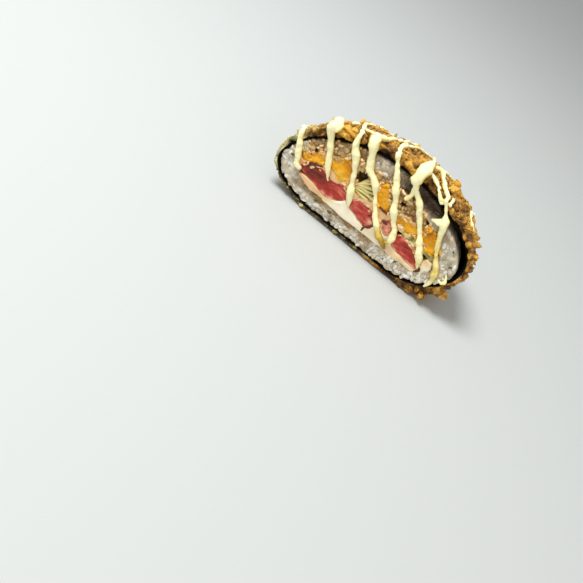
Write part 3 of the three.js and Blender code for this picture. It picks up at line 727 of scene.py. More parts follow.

# ---- Avocado and green leaves --------------------------------------------------------------------
# A thin slice of avocado lies flat over the last tuna slice, with a dark green rim in places. Beside it,
# thin leaves of a pale green vegetable open in a fan, with dark green painted between them as shade.

LEAF_RELIEF = ((4, 0.5), (1.2, 0.2))
LEAVES_SET_BACK = 2.6  # of the green between the leaves, which is painted dark as shade
LEAVES_RUN_BACK = 13
LEAF_WAVE = (4, 0.9)  # length and height of the waves in a leaf
LEAF_SHADE = 0.75  # how dark the green between the leaves is painted, as shade
RIND = (  # [x, z, radius, strength], where the avocado is dark green
    (27.5, 28.9, 2, 0.9), (22, 29.2, 1.6, 0.5), (33, 27.4, 1.4, 0.4), (40, 27.6, 3.2, 0.8),
    (44, 27, 1.5, 0.5),
)
LEAVES = (  # [x, z, thickness] along each leaf's edge at the cut
    ((-14.6, 33.4, 0.6), (-10.4, 37.4, 1.4), (-5, 41.2, 0.7)),
    ((-14.8, 33, 0.6), (-9.6, 35.8, 1.5), (-3, 38.6, 0.8)),
    ((-14.6, 32.4, 0.6), (-8.6, 34.2, 1.3), (-2.4, 35.4, 0.8)),
    ((-14, 31.6, 0.6), (-8, 32.4, 1.5), (-1.6, 32.2, 0.9)),
    ((-13, 30.6, 0.5), (-7, 30.2, 1.3), (-2.6, 29.4, 0.8)),
    ((-12.6, 36.6, 0.5), (-9.4, 40, 1.1), (-6, 42, 0.6)),
)


def sheet_back(line, seed):
    """A thin sheet that runs back from its edge at the cut, in waves, as points and faces."""
    x, z, thick = eased(line, 0.5).T
    lean = np.arctan2(np.gradient(z), np.gradient(x))
    ring_x = np.concatenate([x - thick / 2 * np.sin(lean), (x + thick / 2 * np.sin(lean))[::-1]])
    ring_z = np.concatenate([z + thick / 2 * np.cos(lean), (z - thick / 2 * np.cos(lean))[::-1]])
    depths = np.linspace(-0.3, LEAVES_RUN_BACK, 12)
    rows = [np.stack([ring_x, np.full(len(ring_x), CUT_Y + depth), ring_z], axis=1) for depth in depths]
    points = np.concatenate(rows)
    wave = LEAF_WAVE[1] * (noise(points * (1, 1, 0), LEAF_WAVE[0], seed) - 0.5)
    points += wave[:, None] * (0, 0.6, 1)
    around = len(ring_x)
    faces = tube_faces(len(depths), around)
    far = (len(depths) - 1) * around
    for k in range(len(x) - 1):
        faces.append([k, around - 1 - k, around - 2 - k, k + 1])
        faces.append([far + k, far + k + 1, far + around - 2 - k, far + around - 1 - k])
    return points, faces


# Soft green flesh: pale and faintly veined, with a dull shine and a dark rim where there is rind. The same
# dark green is painted between the leaves as shade.
leaf = surface("pale green flesh")
rind_and_shade = add(leaf, "Attribute", out="Fac", attribute_name="tone")
vein = add(leaf, "TexNoise", {"Scale": 1 / (1.5 * MM), "Detail": 3})
pale = add(leaf, "ValToRGB", {"Fac": vein}, [
    (0.3, "#d2c25c"), (0.5, "#ebe08c"), (0.7, "#fbf4c8"),
])
rind_and_shade_colour = add(leaf, "MixRGB", {"Fac": rind_and_shade, "Color1": pale, "Color2": linear("#454a17")})
tender = {"Base Color": rind_and_shade_colour, "Roughness": 0.35, "IOR": 1.4} | sinking(0.25, (0.8, 1, 0.3), 0.8)
add(leaf, "OutputMaterial", {"Surface": add(leaf, "BsdfPrincipled", tender)})
avocado = relief(softened("avocado", "avocado_slice", 0.5, 0.15, 1), LEAF_RELIEF, 60)
toned(avocado, np.clip(dabs(avocado, RIND), 0, 0.9))
piece("avocado", avocado, leaf, "avocado", "avocado_slice")
bed = relief(softened("leaves", "green_shreds", 0.5, 0.1, 1), LEAF_RELIEF, 61)
bed_points = spots(bed)
bed_points[:, 1] += LEAVES_SET_BACK * at_face(bed_points[:, 1])
sheets = [sheet_back(line, 62 + i) for i, line in enumerate(LEAVES)]
mesh = mesh_of("leaves", *together([(bed_points, polygons(bed))] + sheets))
# The green bed between the leaves is painted dark, as shade.
tones = [np.full(len(bed_points), LEAF_SHADE)]
for i, (points, _) in enumerate(sheets):
    tones.append(np.clip(0.1 * (i % 3) + 0.3 * (noise(points, 3, 68) - 0.4), 0, 1))
toned(mesh, np.concatenate(tones))
piece("leaves", mesh, leaf, "shreds", "green_shreds")

# ---- Chilli mayonnaise ---------------------------------------------------------------------------
# A peach-coloured sauce of mayonnaise and chilli fills the gaps between fish and fruit. It is smooth
# and glossy, more orange where it is thick and paler where it has run thin.

SAUCE_RELIEF = ((3, 1.0), (1, 0.35))
SAUCE_TONE = 0.62
SAUCE_TONES = (  # [x, z, radius, strength], where the sauce is paler or more orange
    (-8.2, 29.8, 1.3, -0.5), (-38, 29, 3, -0.1), (-12, 24, 3, 0.25), (18, 22, 2.5, 0.2), (8, 22, 2, 0.2),
    (-44, 23, 3, -0.2),
)

# An oily sauce: smooth and glossy, in swirls of orange and cream where it was stirred.
sauce = surface("chilli mayonnaise")
swirl = add(sauce, "TexNoise", {"Scale": 1 / (3 * MM), "Detail": 3, "Distortion": 1.2})
level = mottled(sauce, 1.4, swirl)
peach = add(sauce, "ValToRGB", {"Fac": level}, [
    (0.0, "#a8571e"), (0.3, "#cf8f4e"), (0.55, "#e0b07c"), (0.8, "#efd2a2"), (1.0, "#f8eaca"),
])
glossy = {"Base Color": peach, "Roughness": 0.24, "IOR": 1.45} | sinking(0.3, (1, 0.5, 0.3), 1)
add(sauce, "OutputMaterial", {"Surface": add(sauce, "BsdfPrincipled", glossy)})
pool = relief(softened("chilli_sauce", "chilli_mayo", 0.6, 0.3), SAUCE_RELIEF, 70)
toned(pool, SAUCE_TONE + dabs(pool, SAUCE_TONES))
piece("chilli_sauce", pool, sauce, "chilli_mayo", "chilli_mayo")

# ---- Crisp crumbs --------------------------------------------------------------------------------
# Crumbs of fried batter under the top rice, which have soaked up sauce. They are tan to brown, rough
# and uneven, and lie packed together between the pieces of mango, with hollows here and there that are
# set back and painted dark as shade.

CRISP_SPACING = 1.5
CRISP_LENGTHS = (1.8, 4.2)
CRISP_DEPTHS = (0.5, 1.9)  # of their middles behind the cut
CRISP_TONES = (0.42, 0.85)
CRISP_SHAPE = (1, 0.8, 0.65)
CRISP_WOBBLE = 1.2  # how unevenly the knife has cut them
CRISP_BED_TONE = 0.35  # of the crushed crumb between them
OVER_FRUIT, OVER_RICE = (-0.6, 99), (-0.5, 99)  # how far they lie over the border, less than 0, or inside it
STUCK_SHARE, STUCK_END = 0.8, -15  # crumbs that stick to the top rice, left of here
HOLLOWS = (  # [x, z, radius] of the hollows between the crumbs, set back and painted dark as shade
    (-14, 38.5, 3.6), (-43, 34, 1.6), (-31, 44.6, 1.5), (-28.6, 43.8, 1.2), (12, 41, 1.5), (28, 42, 1.6),
)
HOLLOW_DEPTH = 5
HOLLOW_CLEAR = 0.35  # crumbs keep to where a hollow has less than this share of its depth


def crumb_shapes(count, finer, rough, seed):
    """A few different crumbs, each one across, that share their faces."""
    work = bmesh.new()
    bmesh.ops.create_icosphere(work, subdivisions=finer, radius=0.5)
    ball = np.array([vertex.co for vertex in work.verts])
    faces = [[vertex.index for vertex in face.verts] for face in work.faces]
    work.free()
    random = np.random.default_rng(seed)
    shapes = []
    for i in range(count):
        lumpy = 1 + rough * (noise(ball, 0.35, seed + i) - 0.5) * 2
        shapes.append(ball * lumpy[:, None] * (1 + rough * random.uniform(-0.3, 0.3, ball.shape)))
    return np.array(shapes), faces


def hollowed(x, z):
    """How deep in a hollow a place at the cut lies, from 0 to 1."""
    dents = [np.exp(-((np.hypot(x - hx, z - hz) / radius) ** 4)) for hx, hz, radius in HOLLOWS]
    return np.max(dents, axis=0)


# Fried batter that has soaked up sauce: tan to dark brown from crumb to crumb, with a dull wet shine.
crisp = surface("crisp crumbs")
speck = add(crisp, "TexNoise", {"Scale": 1 / (1.4 * MM), "Detail": 3})
level = mottled(crisp, 1.0, speck)
toast = add(crisp, "ValToRGB", {"Fac": level}, [
    (0.0, "#341c08"), (0.25, "#7f5a2a"), (0.55, "#b48c52"), (0.85, "#e0c690"),
])
soaked = {"Base Color": toast, "Roughness": 0.42, "IOR": 1.45} | sinking(0.15, (1, 0.5, 0.3), 0.6)
add(crisp, "OutputMaterial", {"Surface": add(crisp, "BsdfPrincipled", soaked)})
random = np.random.default_rng(80)
x, z = strewn("crisp_crumbs", CRISP_SPACING, OVER_FRUIT, 80)[:2]
stuck = strewn("rice_top", CRISP_SPACING, OVER_RICE, 83)[:2]
stuck = stuck[:, (stuck[0] < STUCK_END) & (random.random(len(stuck[0])) < STUCK_SHARE)]
x, z = np.concatenate([[x, z], stuck], axis=1)
kept = hollowed(x, z) < HOLLOW_CLEAR
x, z = x[kept], z[kept]
total = len(x)
middles = np.stack([x, CUT_Y + random.uniform(*CRISP_DEPTHS, total), z], axis=1)
size = random.uniform(*CRISP_LENGTHS, (total, 1)) * CRISP_SHAPE
turns = frames(random.normal(size=(total, 3)), random.normal(size=(total, 3)))
shapes, crumb_faces = crumb_shapes(8, 2, 0.55, 81)
points, faces = copies(shapes, crumb_faces, turns, size, middles)
bed = relief(softened("crisps", "crisp_crumbs", 0.7, 0.1), ((2, 1.2),), 82)
bed_points = spots(bed)
dent_and_shade = hollowed(bed_points[:, 0], bed_points[:, 2])
bed_points[:, 1] += HOLLOW_DEPTH * dent_and_shade * (bed_points[:, 1] < CUT_Y + FACE_ENDS[0])
crumbs = knife(points.reshape(-1, 3), CRISP_WOBBLE), faces
mesh = mesh_of("crisps", *together([(bed_points, polygons(bed)), crumbs]))
tones = np.repeat(random.uniform(*CRISP_TONES, total), points.shape[1])
# In the hollows the bed is painted darker, down to the darkest brown, as shade.
toned(mesh, np.concatenate([CRISP_BED_TONE * (1 - dent_and_shade), tones]))
piece("crisps", mesh, crisp, "crisps", "crisp_crumbs")

# ---- Torn scraps ---------------------------------------------------------------------------------
# The knife has torn the fruit and dragged bits of it, wet with sauce, over the borders between the
# pieces. They are small, soft and uneven: orange-yellow next to the mango, peach next to the fish.

SCRAP_SPACING = 1.35
SCRAP_LENGTHS = (1.6, 3.8)
SCRAP_REACH = (-1.2, 1.2)  # how far from the border of a piece they lie
SCRAP_SHARE = 0.6  # of the places along the borders
SCRAP_LOWEST, SCRAP_FARTHEST = 22, 46  # they lie over this height, and no farther out from the middle
SCRAP_DEPTHS = (0, 0.8)
SCRAP_SHAPE = (1, 0.55, 0.5)

for name, nodes, tree, base, slot, seed in (
    ("mango_scraps", mango_nodes, fruit, MANGO_TONE, "mango", 84),
    ("sauce_scraps", tuna_nodes + ["crisp_crumbs"], sauce, 0.66, "chilli_mayo", 85),
):
    random = np.random.default_rng(seed)
    found = [strewn(node, SCRAP_SPACING, SCRAP_REACH, seed + i) for i, node in enumerate(nodes)]
    x, z, _, border = np.concatenate(found, axis=1)
    kept = (random.random(len(x)) < SCRAP_SHARE) & (hollowed(x, z) < 0.3)
    kept &= (z > SCRAP_LOWEST) & (np.abs(x) < SCRAP_FARTHEST)
    x, z, border = x[kept], z[kept], border[kept]
    total = len(x)
    slant = border + np.pi / 2 + random.normal(0, 0.5, total)
    along = np.stack([np.cos(slant), random.normal(0, 0.2, total), np.sin(slant)], axis=1)
    shapes, crumb_faces = crumb_shapes(10, 2, 0.5, seed)
    size = random.uniform(*SCRAP_LENGTHS, (total, 1)) * SCRAP_SHAPE
    middles = np.stack([x, CUT_Y + random.uniform(*SCRAP_DEPTHS, total), z], axis=1)
    points, faces = copies(shapes, crumb_faces, frames(along, FACING), size, middles)
    mesh = mesh_of(name, points, faces)
    toned(mesh, base + np.repeat(random.uniform(-0.15, 0.15, total), points.shape[1]))
    piece(name, mesh, tree, slot)

# ---- Panko crust ---------------------------------------------------------------------------------
# Coarse breadcrumbs pressed on over batter and deep fried to a craggy skin. It is golden to dark brown,
# painted nearly black in the pits as shade, olive and thin at the left end, painted olive and dark low on
# its left half as shade, with golden clots low on the right.

CRUST = {
    "reach": (61.2, 63.3), "waist": (18.5, 28), "flat": (30, 42), "boxy": (2.1, 2.25), "base": 0, "top": 62.2,
}
CRAGS = ((9, 3.0), (4.2, 3.4), (1.9, 1.4), (0.9, 0.3))  # size and height of its lumps
CRAG_SINK = 0.4  # the share of those heights that lies under the round
CRAG_PEAK = 1.0
EDGE_ROUND = (1, 1.8)  # the radius of its edge at the cut where it is thin, and what thickness adds
ROUND_GRID = (161, 121)  # points round it and down it
THIN_END = (-58, -30)  # left of here the crust thins out
OLIVE_END = (-58, -46)  # and here it turns olive; low on its left half it is also painted olive and dark, as shade
# Under this height and left of this x the crust is painted olive and dark, as shade low on its left half.
UNDERSIDE_SHADE_Z, UNDERSIDE_SHADE_X = (5, 14), (-5, 20)
# Clots: how many, their length, and between which azimuths and how far down the round they sit.
CLOTS = (
    (10, (6, 10), (0, 0.85 * math.pi), (0.1, 0.8), 29),
    (6, (8, 13), (0, 0.2 * math.pi), (0.68, 0.84), 30),
)
CLOT_SHAPE = (1, 0.75, 0.55)
CLOT_RELIEF = ((2.6, 1.6), (1.1, 0.9))
CLOT_TONE = 1.2
GOLDEN_AND_PIT_SHADE = (0.63, 0.25)  # how golden the crust is at its middle height, and what each millimetre of crag adds, so that the pits are painted darker as shade
# Loose crumbs: their number, how finely they are made, their length and how high they stand.
SHARDS = (
    ("panko_flakes", 1100, 2, (2, 4.6), -0.06, 91),
    ("panko_crumbs", 1600, 1, (0.9, 1.8), 0.02, 92),
)
SHARD_SHAPE = (1, 0.7, 0.4)


def drawn(seed):
    """The run of random numbers that also places the clots in the solids."""
    while True:
        seed = (seed + 0x6D2B79F5) & 0xFFFFFFFF
        t = ((seed ^ (seed >> 15)) * (1 | seed)) & 0xFFFFFFFF
        t = ((t + ((t ^ (t >> 7)) * (61 | t))) & 0xFFFFFFFF) ^ t
        yield ((t ^ (t >> 14)) & 0xFFFFFFFF) / 2**32


def fullness(points):
    """How thick the crust is, from 0 at the left end to 1."""
    return eased_in(np.asarray(points)[:, 0], *THIN_END)


def crag_height(points):
    """How far the crags stand out of the round: round lumps with creases between them."""
    rough = 0
    for i, (size, height) in enumerate(CRAGS):
        bent = points + 0.4 * size * (noise(points, size, 97 + i) - 0.5)[:, None]
        rough = rough + height * (np.abs(2 * noise(bent, size, 90 + i) - 1) - CRAG_SINK)
    return np.minimum(rough * (0.75 + 0.25 * fullness(points)) - 0.1, CRAG_PEAK)


def whole_round(name, sizes, turn):
    """A round from azimuth 0 to a turn. A half one is closed by a flat with a rounded edge at the cut."""
    columns, rows = ROUND_GRID
    steps = np.linspace(0, 1, columns)
    if turn < 2 * np.pi:
        steps = (1 - np.cos(np.pi * steps)) / 2
    azimuths, downs = np.meshgrid(turn * steps, np.linspace(0, 1, rows))
    points = on_round(sizes, azimuths, downs).reshape(-1, 3)
    faces = grid_faces(rows, columns)
    if turn < 2 * np.pi:
        centre = np.array((0, CUT_Y, sizes["waist"][0]))
        radius = EDGE_ROUND[0] + EDGE_ROUND[1] * fullness(points)
        short = np.clip(radius - (points[:, 1] - CUT_Y), 0, None)
        shift = radius - np.sqrt(radius**2 - short**2)
        inward = (centre - points) * (1, 0, 1)
        inward /= np.maximum(np.linalg.norm(inward, axis=1), 1)[:, None]
        points += shift[:, None] * inward
        right = [row * columns for row in range(rows)]
        left = [row * columns + columns - 1 for row in range(rows)]
        faces.append(right + left[::-1])
    return welded(mesh_of(name, points, faces))


body = remeshed("crust_body", whole_round("crust_round", CRUST, np.pi), 0.6, 2)
points = spots(body)
lift = crag_height(points) * np.clip(points[:, 2] / 2, 0, 1)
points = points + lift[:, None] * spots(body, "vector", "vertex_normals")
points[:, 2] = np.maximum(points[:, 2], 0)
placed(body, points)
draft = in_scene("crust_draft", body)
cutter = in_scene("room_for_nori", whole_round("nori_room", grown(NORI, 0.1), 2 * np.pi))
cut = draft.modifiers.new("room", "BOOLEAN")
cut.operation = "DIFFERENCE"
cut.solver = "MANIFOLD"
cut.object = cutter
body = worked(draft, "crust_body")
bpy.data.objects.remove(cutter)

# Fried breadcrumb: dull and rough. How brown it is varies from crumb to crumb and from patch to patch,
# and the thin left end is olive with pale specks. The pits are painted darker, and the low left half
# olive and dark, as shade.
panko = surface("fried panko")
thin = add(panko, "Attribute", out="Fac", attribute_name="thin")
speckle = add(panko, "TexNoise", {"Scale": 1 / (1.3 * MM), "Detail": 5, "Roughness": 0.65})
patch = add(panko, "TexNoise", {"Scale": 1 / (4.5 * MM), "Detail": 3})
level = mottled(panko, 1.8, speckle, patch)
brown = add(panko, "ValToRGB", {"Fac": level}, [
    (0.0, "#3a2208"), (0.2, "#663f0e"), (0.4, "#95651b"),
    (0.6, "#bd8a2e"), (0.8, "#e4b44a"), (1.0, "#ffc650"),
])
hue = add(panko, "TexNoise", {"Scale": 1 / (9 * MM), "Detail": 2})
warmth = add(panko, "ValToRGB", {"Fac": hue}, [
    (0.36, "#aeb66c"), (0.47, "#eeeabc"), (0.57, "#ffffff"), (0.68, "#f0b48a"),
])
varied = add(panko, "MixRGB", {"Fac": 1.0, "Color1": brown, "Color2": warmth}, blend_type="MULTIPLY")
green = add(panko, "ValToRGB", {"Fac": level}, [
    (0.2, "#181a08"), (0.42, "#5c5b28"), (0.6, "#a4a05e"), (0.82, "#e8e4b8"),
])
olive_and_underside_shade = add(panko, "MixRGB", {"Fac": thin, "Color1": varied, "Color2": green})
pores = add(panko, "TexNoise", {"Scale": 1 / (0.45 * MM), "Detail": 3})
rough = add(panko, "Bump", {"Height": pores, "Strength": 0.6, "Distance": 0.3 * MM})
fried = {"Base Color": olive_and_underside_shade, "Normal": rough, "Roughness": 0.32, "IOR": 1.45}
fried |= sinking(0.05, (1, 0.5, 0.2), 0.6)
add(panko, "OutputMaterial", {"Surface": add(panko, "BsdfPrincipled", fried)})


def browned_and_shaded(mesh, tones):
    """Stores how golden each point of the crust is, darker in the pits as painted shade, and how far it turns
    olive: at the thin left end, and low on its left half as painted shade.
    """
    toned(mesh, tones)
    x, _, z = spots(mesh).T
    # Painted shade: low on the left half the crust turns olive and dark.
    under = 0.8 * (1 - eased_in(z, *UNDERSIDE_SHADE_Z)) * (1 - eased_in(x, *UNDERSIDE_SHADE_X))
    return toned(mesh, 0.9 * np.maximum(1 - eased_in(x, *OLIVE_END), under), "thin")


# Higher crags are more golden and the pits are painted darker, as shade.
browned_and_shaded(body, GOLDEN_AND_PIT_SHADE[0] + GOLDEN_AND_PIT_SHADE[1] * crag_height(spots(body)))
piece("crust_body", body, panko, "crust", "panko_crust")


def over_surface(mesh, count, random):
    """Places spread evenly over a mesh, with the normal at each."""
    mesh.calc_loop_triangles()
    corners = np.empty(len(mesh.loop_triangles) * 3, np.int32)
    mesh.loop_triangles.foreach_get("vertices", corners)
    a, b, c = spots(mesh)[corners.reshape(-1, 3)].transpose(1, 0, 2)
    normals = np.cross(b - a, c - a)
    areas = np.linalg.norm(normals, axis=1)
    picked = random.choice(len(areas), count, p=areas / areas.sum())
    u, v = random.random((2, count, 1))
    flipped = u + v > 1
    u, v = np.where(flipped, 1 - u, u), np.where(flipped, 1 - v, v)
    places = a[picked] + u * (b - a)[picked] + v * (c - a)[picked]
    return places, normals[picked] / np.maximum(areas[picked], 1e-9)[:, None]


for name, count, finer, lengths, stand, seed in SHARDS:
    random = np.random.default_rng(seed)
    places, normals = over_surface(body, count * 3, random)
    under = (places[:, 2] < 0.8) & (normals[:, 2] < -0.5)
    shown = ~inside(grown(NORI, 0.5), places) & ~under
    shown &= random.random(len(places)) < 0.7 + 0.3 * fullness(places)
    places, normals = places[shown][:count], normals[shown][:count]
    total = len(places)
    length = random.uniform(*lengths, (total, 1)) * (0.6 + 0.4 * fullness(places))[:, None]
    size = length * SHARD_SHAPE * random.uniform(0.8, 1.2, (total, 3))
    along = np.cross(normals, random.normal(size=(total, 3)))
    along += 0.35 * random.normal(size=(total, 1)) * normals
    turns = frames(along, normals)
    shapes, crumb_faces = crumb_shapes(12, finer, 0.6, seed)
    points, faces = copies(shapes, crumb_faces, turns, size, places + stand * length * normals)
    points[:, :, 2] = np.maximum(points[:, :, 2], 0.02)
    mesh = mesh_of(name, points, faces)
    # Each crumb takes the tone of the crust under it, painted darker in the pits as shade.
    around = GOLDEN_AND_PIT_SHADE[0] + GOLDEN_AND_PIT_SHADE[1] * crag_height(places)
    browned_and_shaded(mesh, np.repeat(around + random.uniform(-0.15, 0.25, total), points.shape[1]))
    piece(name, mesh, panko, "crust")

clot_points, clot_faces = crumb_shapes(16, 4, 0.5, 95)
middles, sizes, turns = [], [], []
for count, lengths, azimuth_range, down_range, seed in CLOTS:
    run = drawn(seed)
    for _ in range(count):
        azimuth = azimuth_range[0] + (azimuth_range[1] - azimuth_range[0]) * next(run)
        down = down_range[0] + (down_range[1] - down_range[0]) * next(run)
        size = [share * (lengths[0] + (lengths[1] - lengths[0]) * next(run)) for share in CLOT_SHAPE]
        tip, spin = next(run) * math.pi, next(run) * math.pi
        middles.append(on_round(CRUST, np.array(azimuth), np.array(down)))
        sizes.append(size)
        turns.append(np.array(Matrix.Rotation(spin, 3, "Z") @ Matrix.Rotation(tip, 3, "X")))
points, faces = copies(clot_points, clot_faces, np.array(turns), np.array(sizes), np.array(middles))
for clot in points:
    clot[:, 2] += max(0, -clot[:, 2].min())
mesh = relief(mesh_of("panko_clots", points, faces), CLOT_RELIEF, 97, 0.6)
points = spots(mesh)
points[:, 1] = np.maximum(points[:, 1], CUT_Y)
points[:, 2] = np.maximum(points[:, 2], 0)
placed(mesh, points)
browned_and_shaded(mesh, CLOT_TONE + 0.6 * (noise(points, CLOT_RELIEF[0][0], 97) - 0.5))
piece("panko_clots", mesh, panko, "crust")

# ---- Drizzled mayonnaise -------------------------------------------------------------------------
# Mayonnaise from a squeeze bottle, swung over the burger after the cut. The strands lie on the crags,
# run over the cut's edge and hang in front of the filling. They are pale yellow, thick and glossy.

LIE_LIFT = 0.22  # of its width, how high the middle of a strand lies over the crags
THIN_EDGE_SHADE = 0.5  # how much darker and yellower a strand is painted along its thin sides, as shade where it curves away from the light
STRAND_GAP = 0.1  # between a strand and the cut
STRAND_STEP = 0.8  # between the rings of a strand
MAYO_RELIEF = ((3, 0.8), (1.2, 0.35))
# In front of the cut, as [x, z, width]. The first point lies on the edge of the crust.
HANGING = (
    ((-54.6, 42.4, 2.4), (-54.4, 37.6, 3), (-52, 31.6, 4), (-49.4, 25.6, 3.8), (-47, 20.8, 3.4),
     (-43.6, 20.2, 1.6)),
    ((-40.8, 57, 6.6), (-42.2, 52.2, 6.6), (-39.2, 46, 4.4), (-35.4, 38.8, 3.8), (-32.4, 32, 3.6),
     (-27.6, 24.2, 1.2)),
    ((-27.7, 60, 2.4), (-27.2, 54, 3.8), (-23.6, 47.8, 4.6), (-19.6, 41, 3.2), (-16.4, 33.6, 3.2),
     (-13.2, 26.6, 3.6), (-10.6, 20.2, 1.4)),
    ((-19.6, 60.4, 5.6), (-16.2, 53, 5), (-12.6, 45.8, 4), (-6.8, 42.2, 4.4), (-2.6, 36.4, 2.4),
     (2.4, 29.4, 2.8), (8.6, 22.2, 3.8), (15, 17, 3.6), (20.2, 13.8, 1.6)),
    ((-5.8, 62.6, 2.8), (-2.4, 57, 3), (1.6, 51.2, 3.8), (4.2, 46.8, 4.6), (7.8, 41, 3.2), (11, 35.6, 5),
     (14, 31, 3), (17.6, 26.4, 3.4), (19, 20.6, 4), (16.4, 16.4, 1.8)),
    ((9.6, 62, 6.8), (9.8, 58.6, 6.8), (10.6, 54.6, 4.8)),
    ((21.4, 61.4, 2.2), (24.6, 58.2, 2.4), (28.2, 55.8, 2.2)),
    ((28, 59, 2.6), (33, 52.4, 2.4), (35.8, 47.4, 5), (38, 41.6, 3.6), (41.4, 33.8, 2.8), (45.4, 28, 2.8),
     (49.4, 21.4, 3.8), (50, 14.6, 2), (49, 10.8, 1.4)),
    ((31, 61, 2), (31.8, 59.2, 2), (32.2, 57.4, 1.6)),
)
BRANCHES = (  # these hang from another strand, or stick to the rice
    ((10.4, 56.4, 4), (13, 53.2, 3.8), (17.6, 49.6, 3.8), (22.8, 43.2, 3.6), (27.8, 36.6, 3.2), (32.6, 30, 4),
     (36, 25, 4.8), (38.8, 20.2, 2.6), (40.2, 17, 1.2)),
    ((11.4, 54, 3.2), (12.6, 48.6, 3.8), (10.8, 44.6, 2.2)),
    ((34.6, 48.4, 4.6), (31.4, 46.6, 3.2), (28.2, 45.2, 1.4)),
    ((53.4, 26.4, 1.6), (55, 24.4, 2.4), (56, 21.8, 3.2), (54.4, 20, 2.8), (52.2, 20.4, 1.8)),
)
LYING = (  # on the dome, as [x, y, width]
    ((-54.6, -28, 2.4), (-55.6, -22, 2.6), (-55, -12, 2.6), (-52, -2, 2.8), (-46, 8, 2.4)),
    ((-40.8, -28, 6.6), (-40.6, -24.5, 6.2), (-41.2, -20, 4), (-43, -12, 3), (-44, 0, 3.2), (-39, 13, 3),
     (-28, 24, 2.4)),
    ((-36.6, -16, 2), (-34.4, -15, 3), (-32.2, -14.2, 2)),
    ((-27.7, -28, 2.6), (-28.6, -25, 3), (-28.8, -21.8, 3), (-30, -16, 2.8), (-31, -6, 2.8), (-27, 6, 2.8),
     (-15, 20, 2.6)),
    ((-28.2, -22.4, 2.4), (-25.4, -21.8, 2.4), (-22.4, -24, 2.8), (-20.6, -26.8, 3)),
    ((-19.6, -28, 5.6), (-15.4, -21, 3.4), (-11.6, -14, 3), (-8.6, -8, 2.6), (-8, 1, 2.6), (-3, 12, 2.8),
     (6, 24, 2.4)),
    ((-5.8, -28, 2.8), (-7.4, -21, 3), (-6.8, -14, 3), (-4.6, -8, 2.4), (-2, 2, 2.6), (6, 12, 2.6),
     (14, 23, 2.4)),
    ((9.6, -28, 7), (9.9, -24, 7.2), (10, -18.5, 6.8), (10.2, -14.6, 4.6), (10.4, -11.5, 2.6), (10, 0, 2.6),
     (8, 14, 2.8)),
    ((12.8, -21.6, 2.4), (18, -25.4, 2.4), (21.4, -28, 2.2)),
    ((12.6, -7, 2.6), (16.7, -5.4, 3.2), (18.9, -10.6, 3), (21, -18.4, 2.4), (25, -24.8, 3), (28, -28, 2.6)),
    ((17, -5.6, 2.6), (19, 3, 2.6), (26, 12, 2.6), (36, 20, 2)),
    ((30.2, -22, 1.6), (30.8, -25, 2), (31, -28, 2)),
    ((49.5, -22.4, 2.2), (45.7, -18.8, 2.4), (43.2, -9.6, 2.4), (44, 0, 2.6), (50, 6, 2.2)),
)
OILY = (  # [x, z, radius, strength], where mango juice and oil have darkened the strands
    (11, 20, 3, 0.45), (14.5, 17, 3, 0.5), (19, 14.8, 3, 0.8), (17.5, 18, 2.5, 0.3), (48, 24, 2.2, 0.4),
    (40, 37, 4, 0.2), (44, 30, 4, 0.3), (50, 20, 3, 0.3), (12.6, 48, 2, 0.15), (38.6, 20.5, 2, 0.25),
)


def dome_height(sizes, x, y):
    """The height of a round's dome over points of the table."""
    across = np.hypot(x, y - CUT_Y)
    at = towards(sizes, np.arctan2(y - CUT_Y, x))
    rest = np.clip(1 - (across / at["reach"]) ** at["boxy"], 0, 1)
    return at["waist"] + (at["top"] - at["waist"]) * rest ** (1 / at["boxy"])


def uneven(widths, path, seed):
    """Widths along a path that swell and shrink as a squeezed strand does."""
    return widths * (0.66 + 0.6 * noise(path, 4.5, seed))


strands, lines = [], []
for i, drop in enumerate(HANGING + BRANCHES):
    x, z, width = eased(drop, STRAND_STEP).T
    y = CUT_Y - STRAND_GAP - width * STRAND_THICK / 2
    path = np.stack([x, y, z], axis=1)
    if i < len(HANGING):
        edge = dome_height(CRUST, x[:1], np.array([CUT_Y]))[0] + width[0] * LIE_LIFT
        path[:, 2] = np.minimum(path[:, 2], edge)
        over = np.array([(x[0], CUT_Y + 3, edge), (x[0], CUT_Y + 1, edge), (x[0], y[0] + 0.5, edge - 0.8)])
        path = np.concatenate([over, path[path[:, 2] < edge - 1.2]])
        width = np.concatenate([np.full(3, width[0]), width[-(len(path) - 3):]])
        again = eased(np.column_stack([path, width]), STRAND_STEP)
        path, width = again[:, :3], again[:, 3]
    width = uneven(width, path, 100 + i)
    strands.append(strand(path, width, (0, -1, 0.35)))
    lines.append((path, width))
for i, line in enumerate(LYING):
    x, y, width = eased(line, STRAND_STEP).T
    path = np.stack([x, y, dome_height(CRUST, x, y)], axis=1)
    # Differences of height over a millimetre give the way out of the dome.
    rise_x = dome_height(CRUST, x + 0.5, y) - dome_height(CRUST, x - 0.5, y)
    rise_y = dome_height(CRUST, x, y + 0.5) - dome_height(CRUST, x, np.maximum(y - 0.5, CUT_Y))
    outs = np.stack([-rise_x, -rise_y, np.ones(len(x))], axis=1)
    outs /= np.linalg.norm(outs, axis=1)[:, None]
    raised = np.maximum(crag_height(path), 0.1) + LIE_LIFT * width
    path = path + raised[:, None] * outs
    width = uneven(width, path, 120 + i)
    strands.append(strand(path, width, outs))
    lines.append((path, width))
mayo_mesh = remeshed("mayonnaise", mesh_of("mayonnaise_draft", *together(strands)), 0.45, 3)
middles = KDTree(sum(len(path) for path, _ in lines))
half_widths = np.concatenate([width / 2 for _, width in lines])
for i, point in enumerate(np.concatenate([path for path, _ in lines])):
    middles.insert(point, i)
middles.balance()
nearest = [middles.find(point)[1:] for point in spots(mayo_mesh).tolist()]
sideways = np.array([gap / half_widths[i] for i, gap in nearest])
relief(mayo_mesh, MAYO_RELIEF, 130)

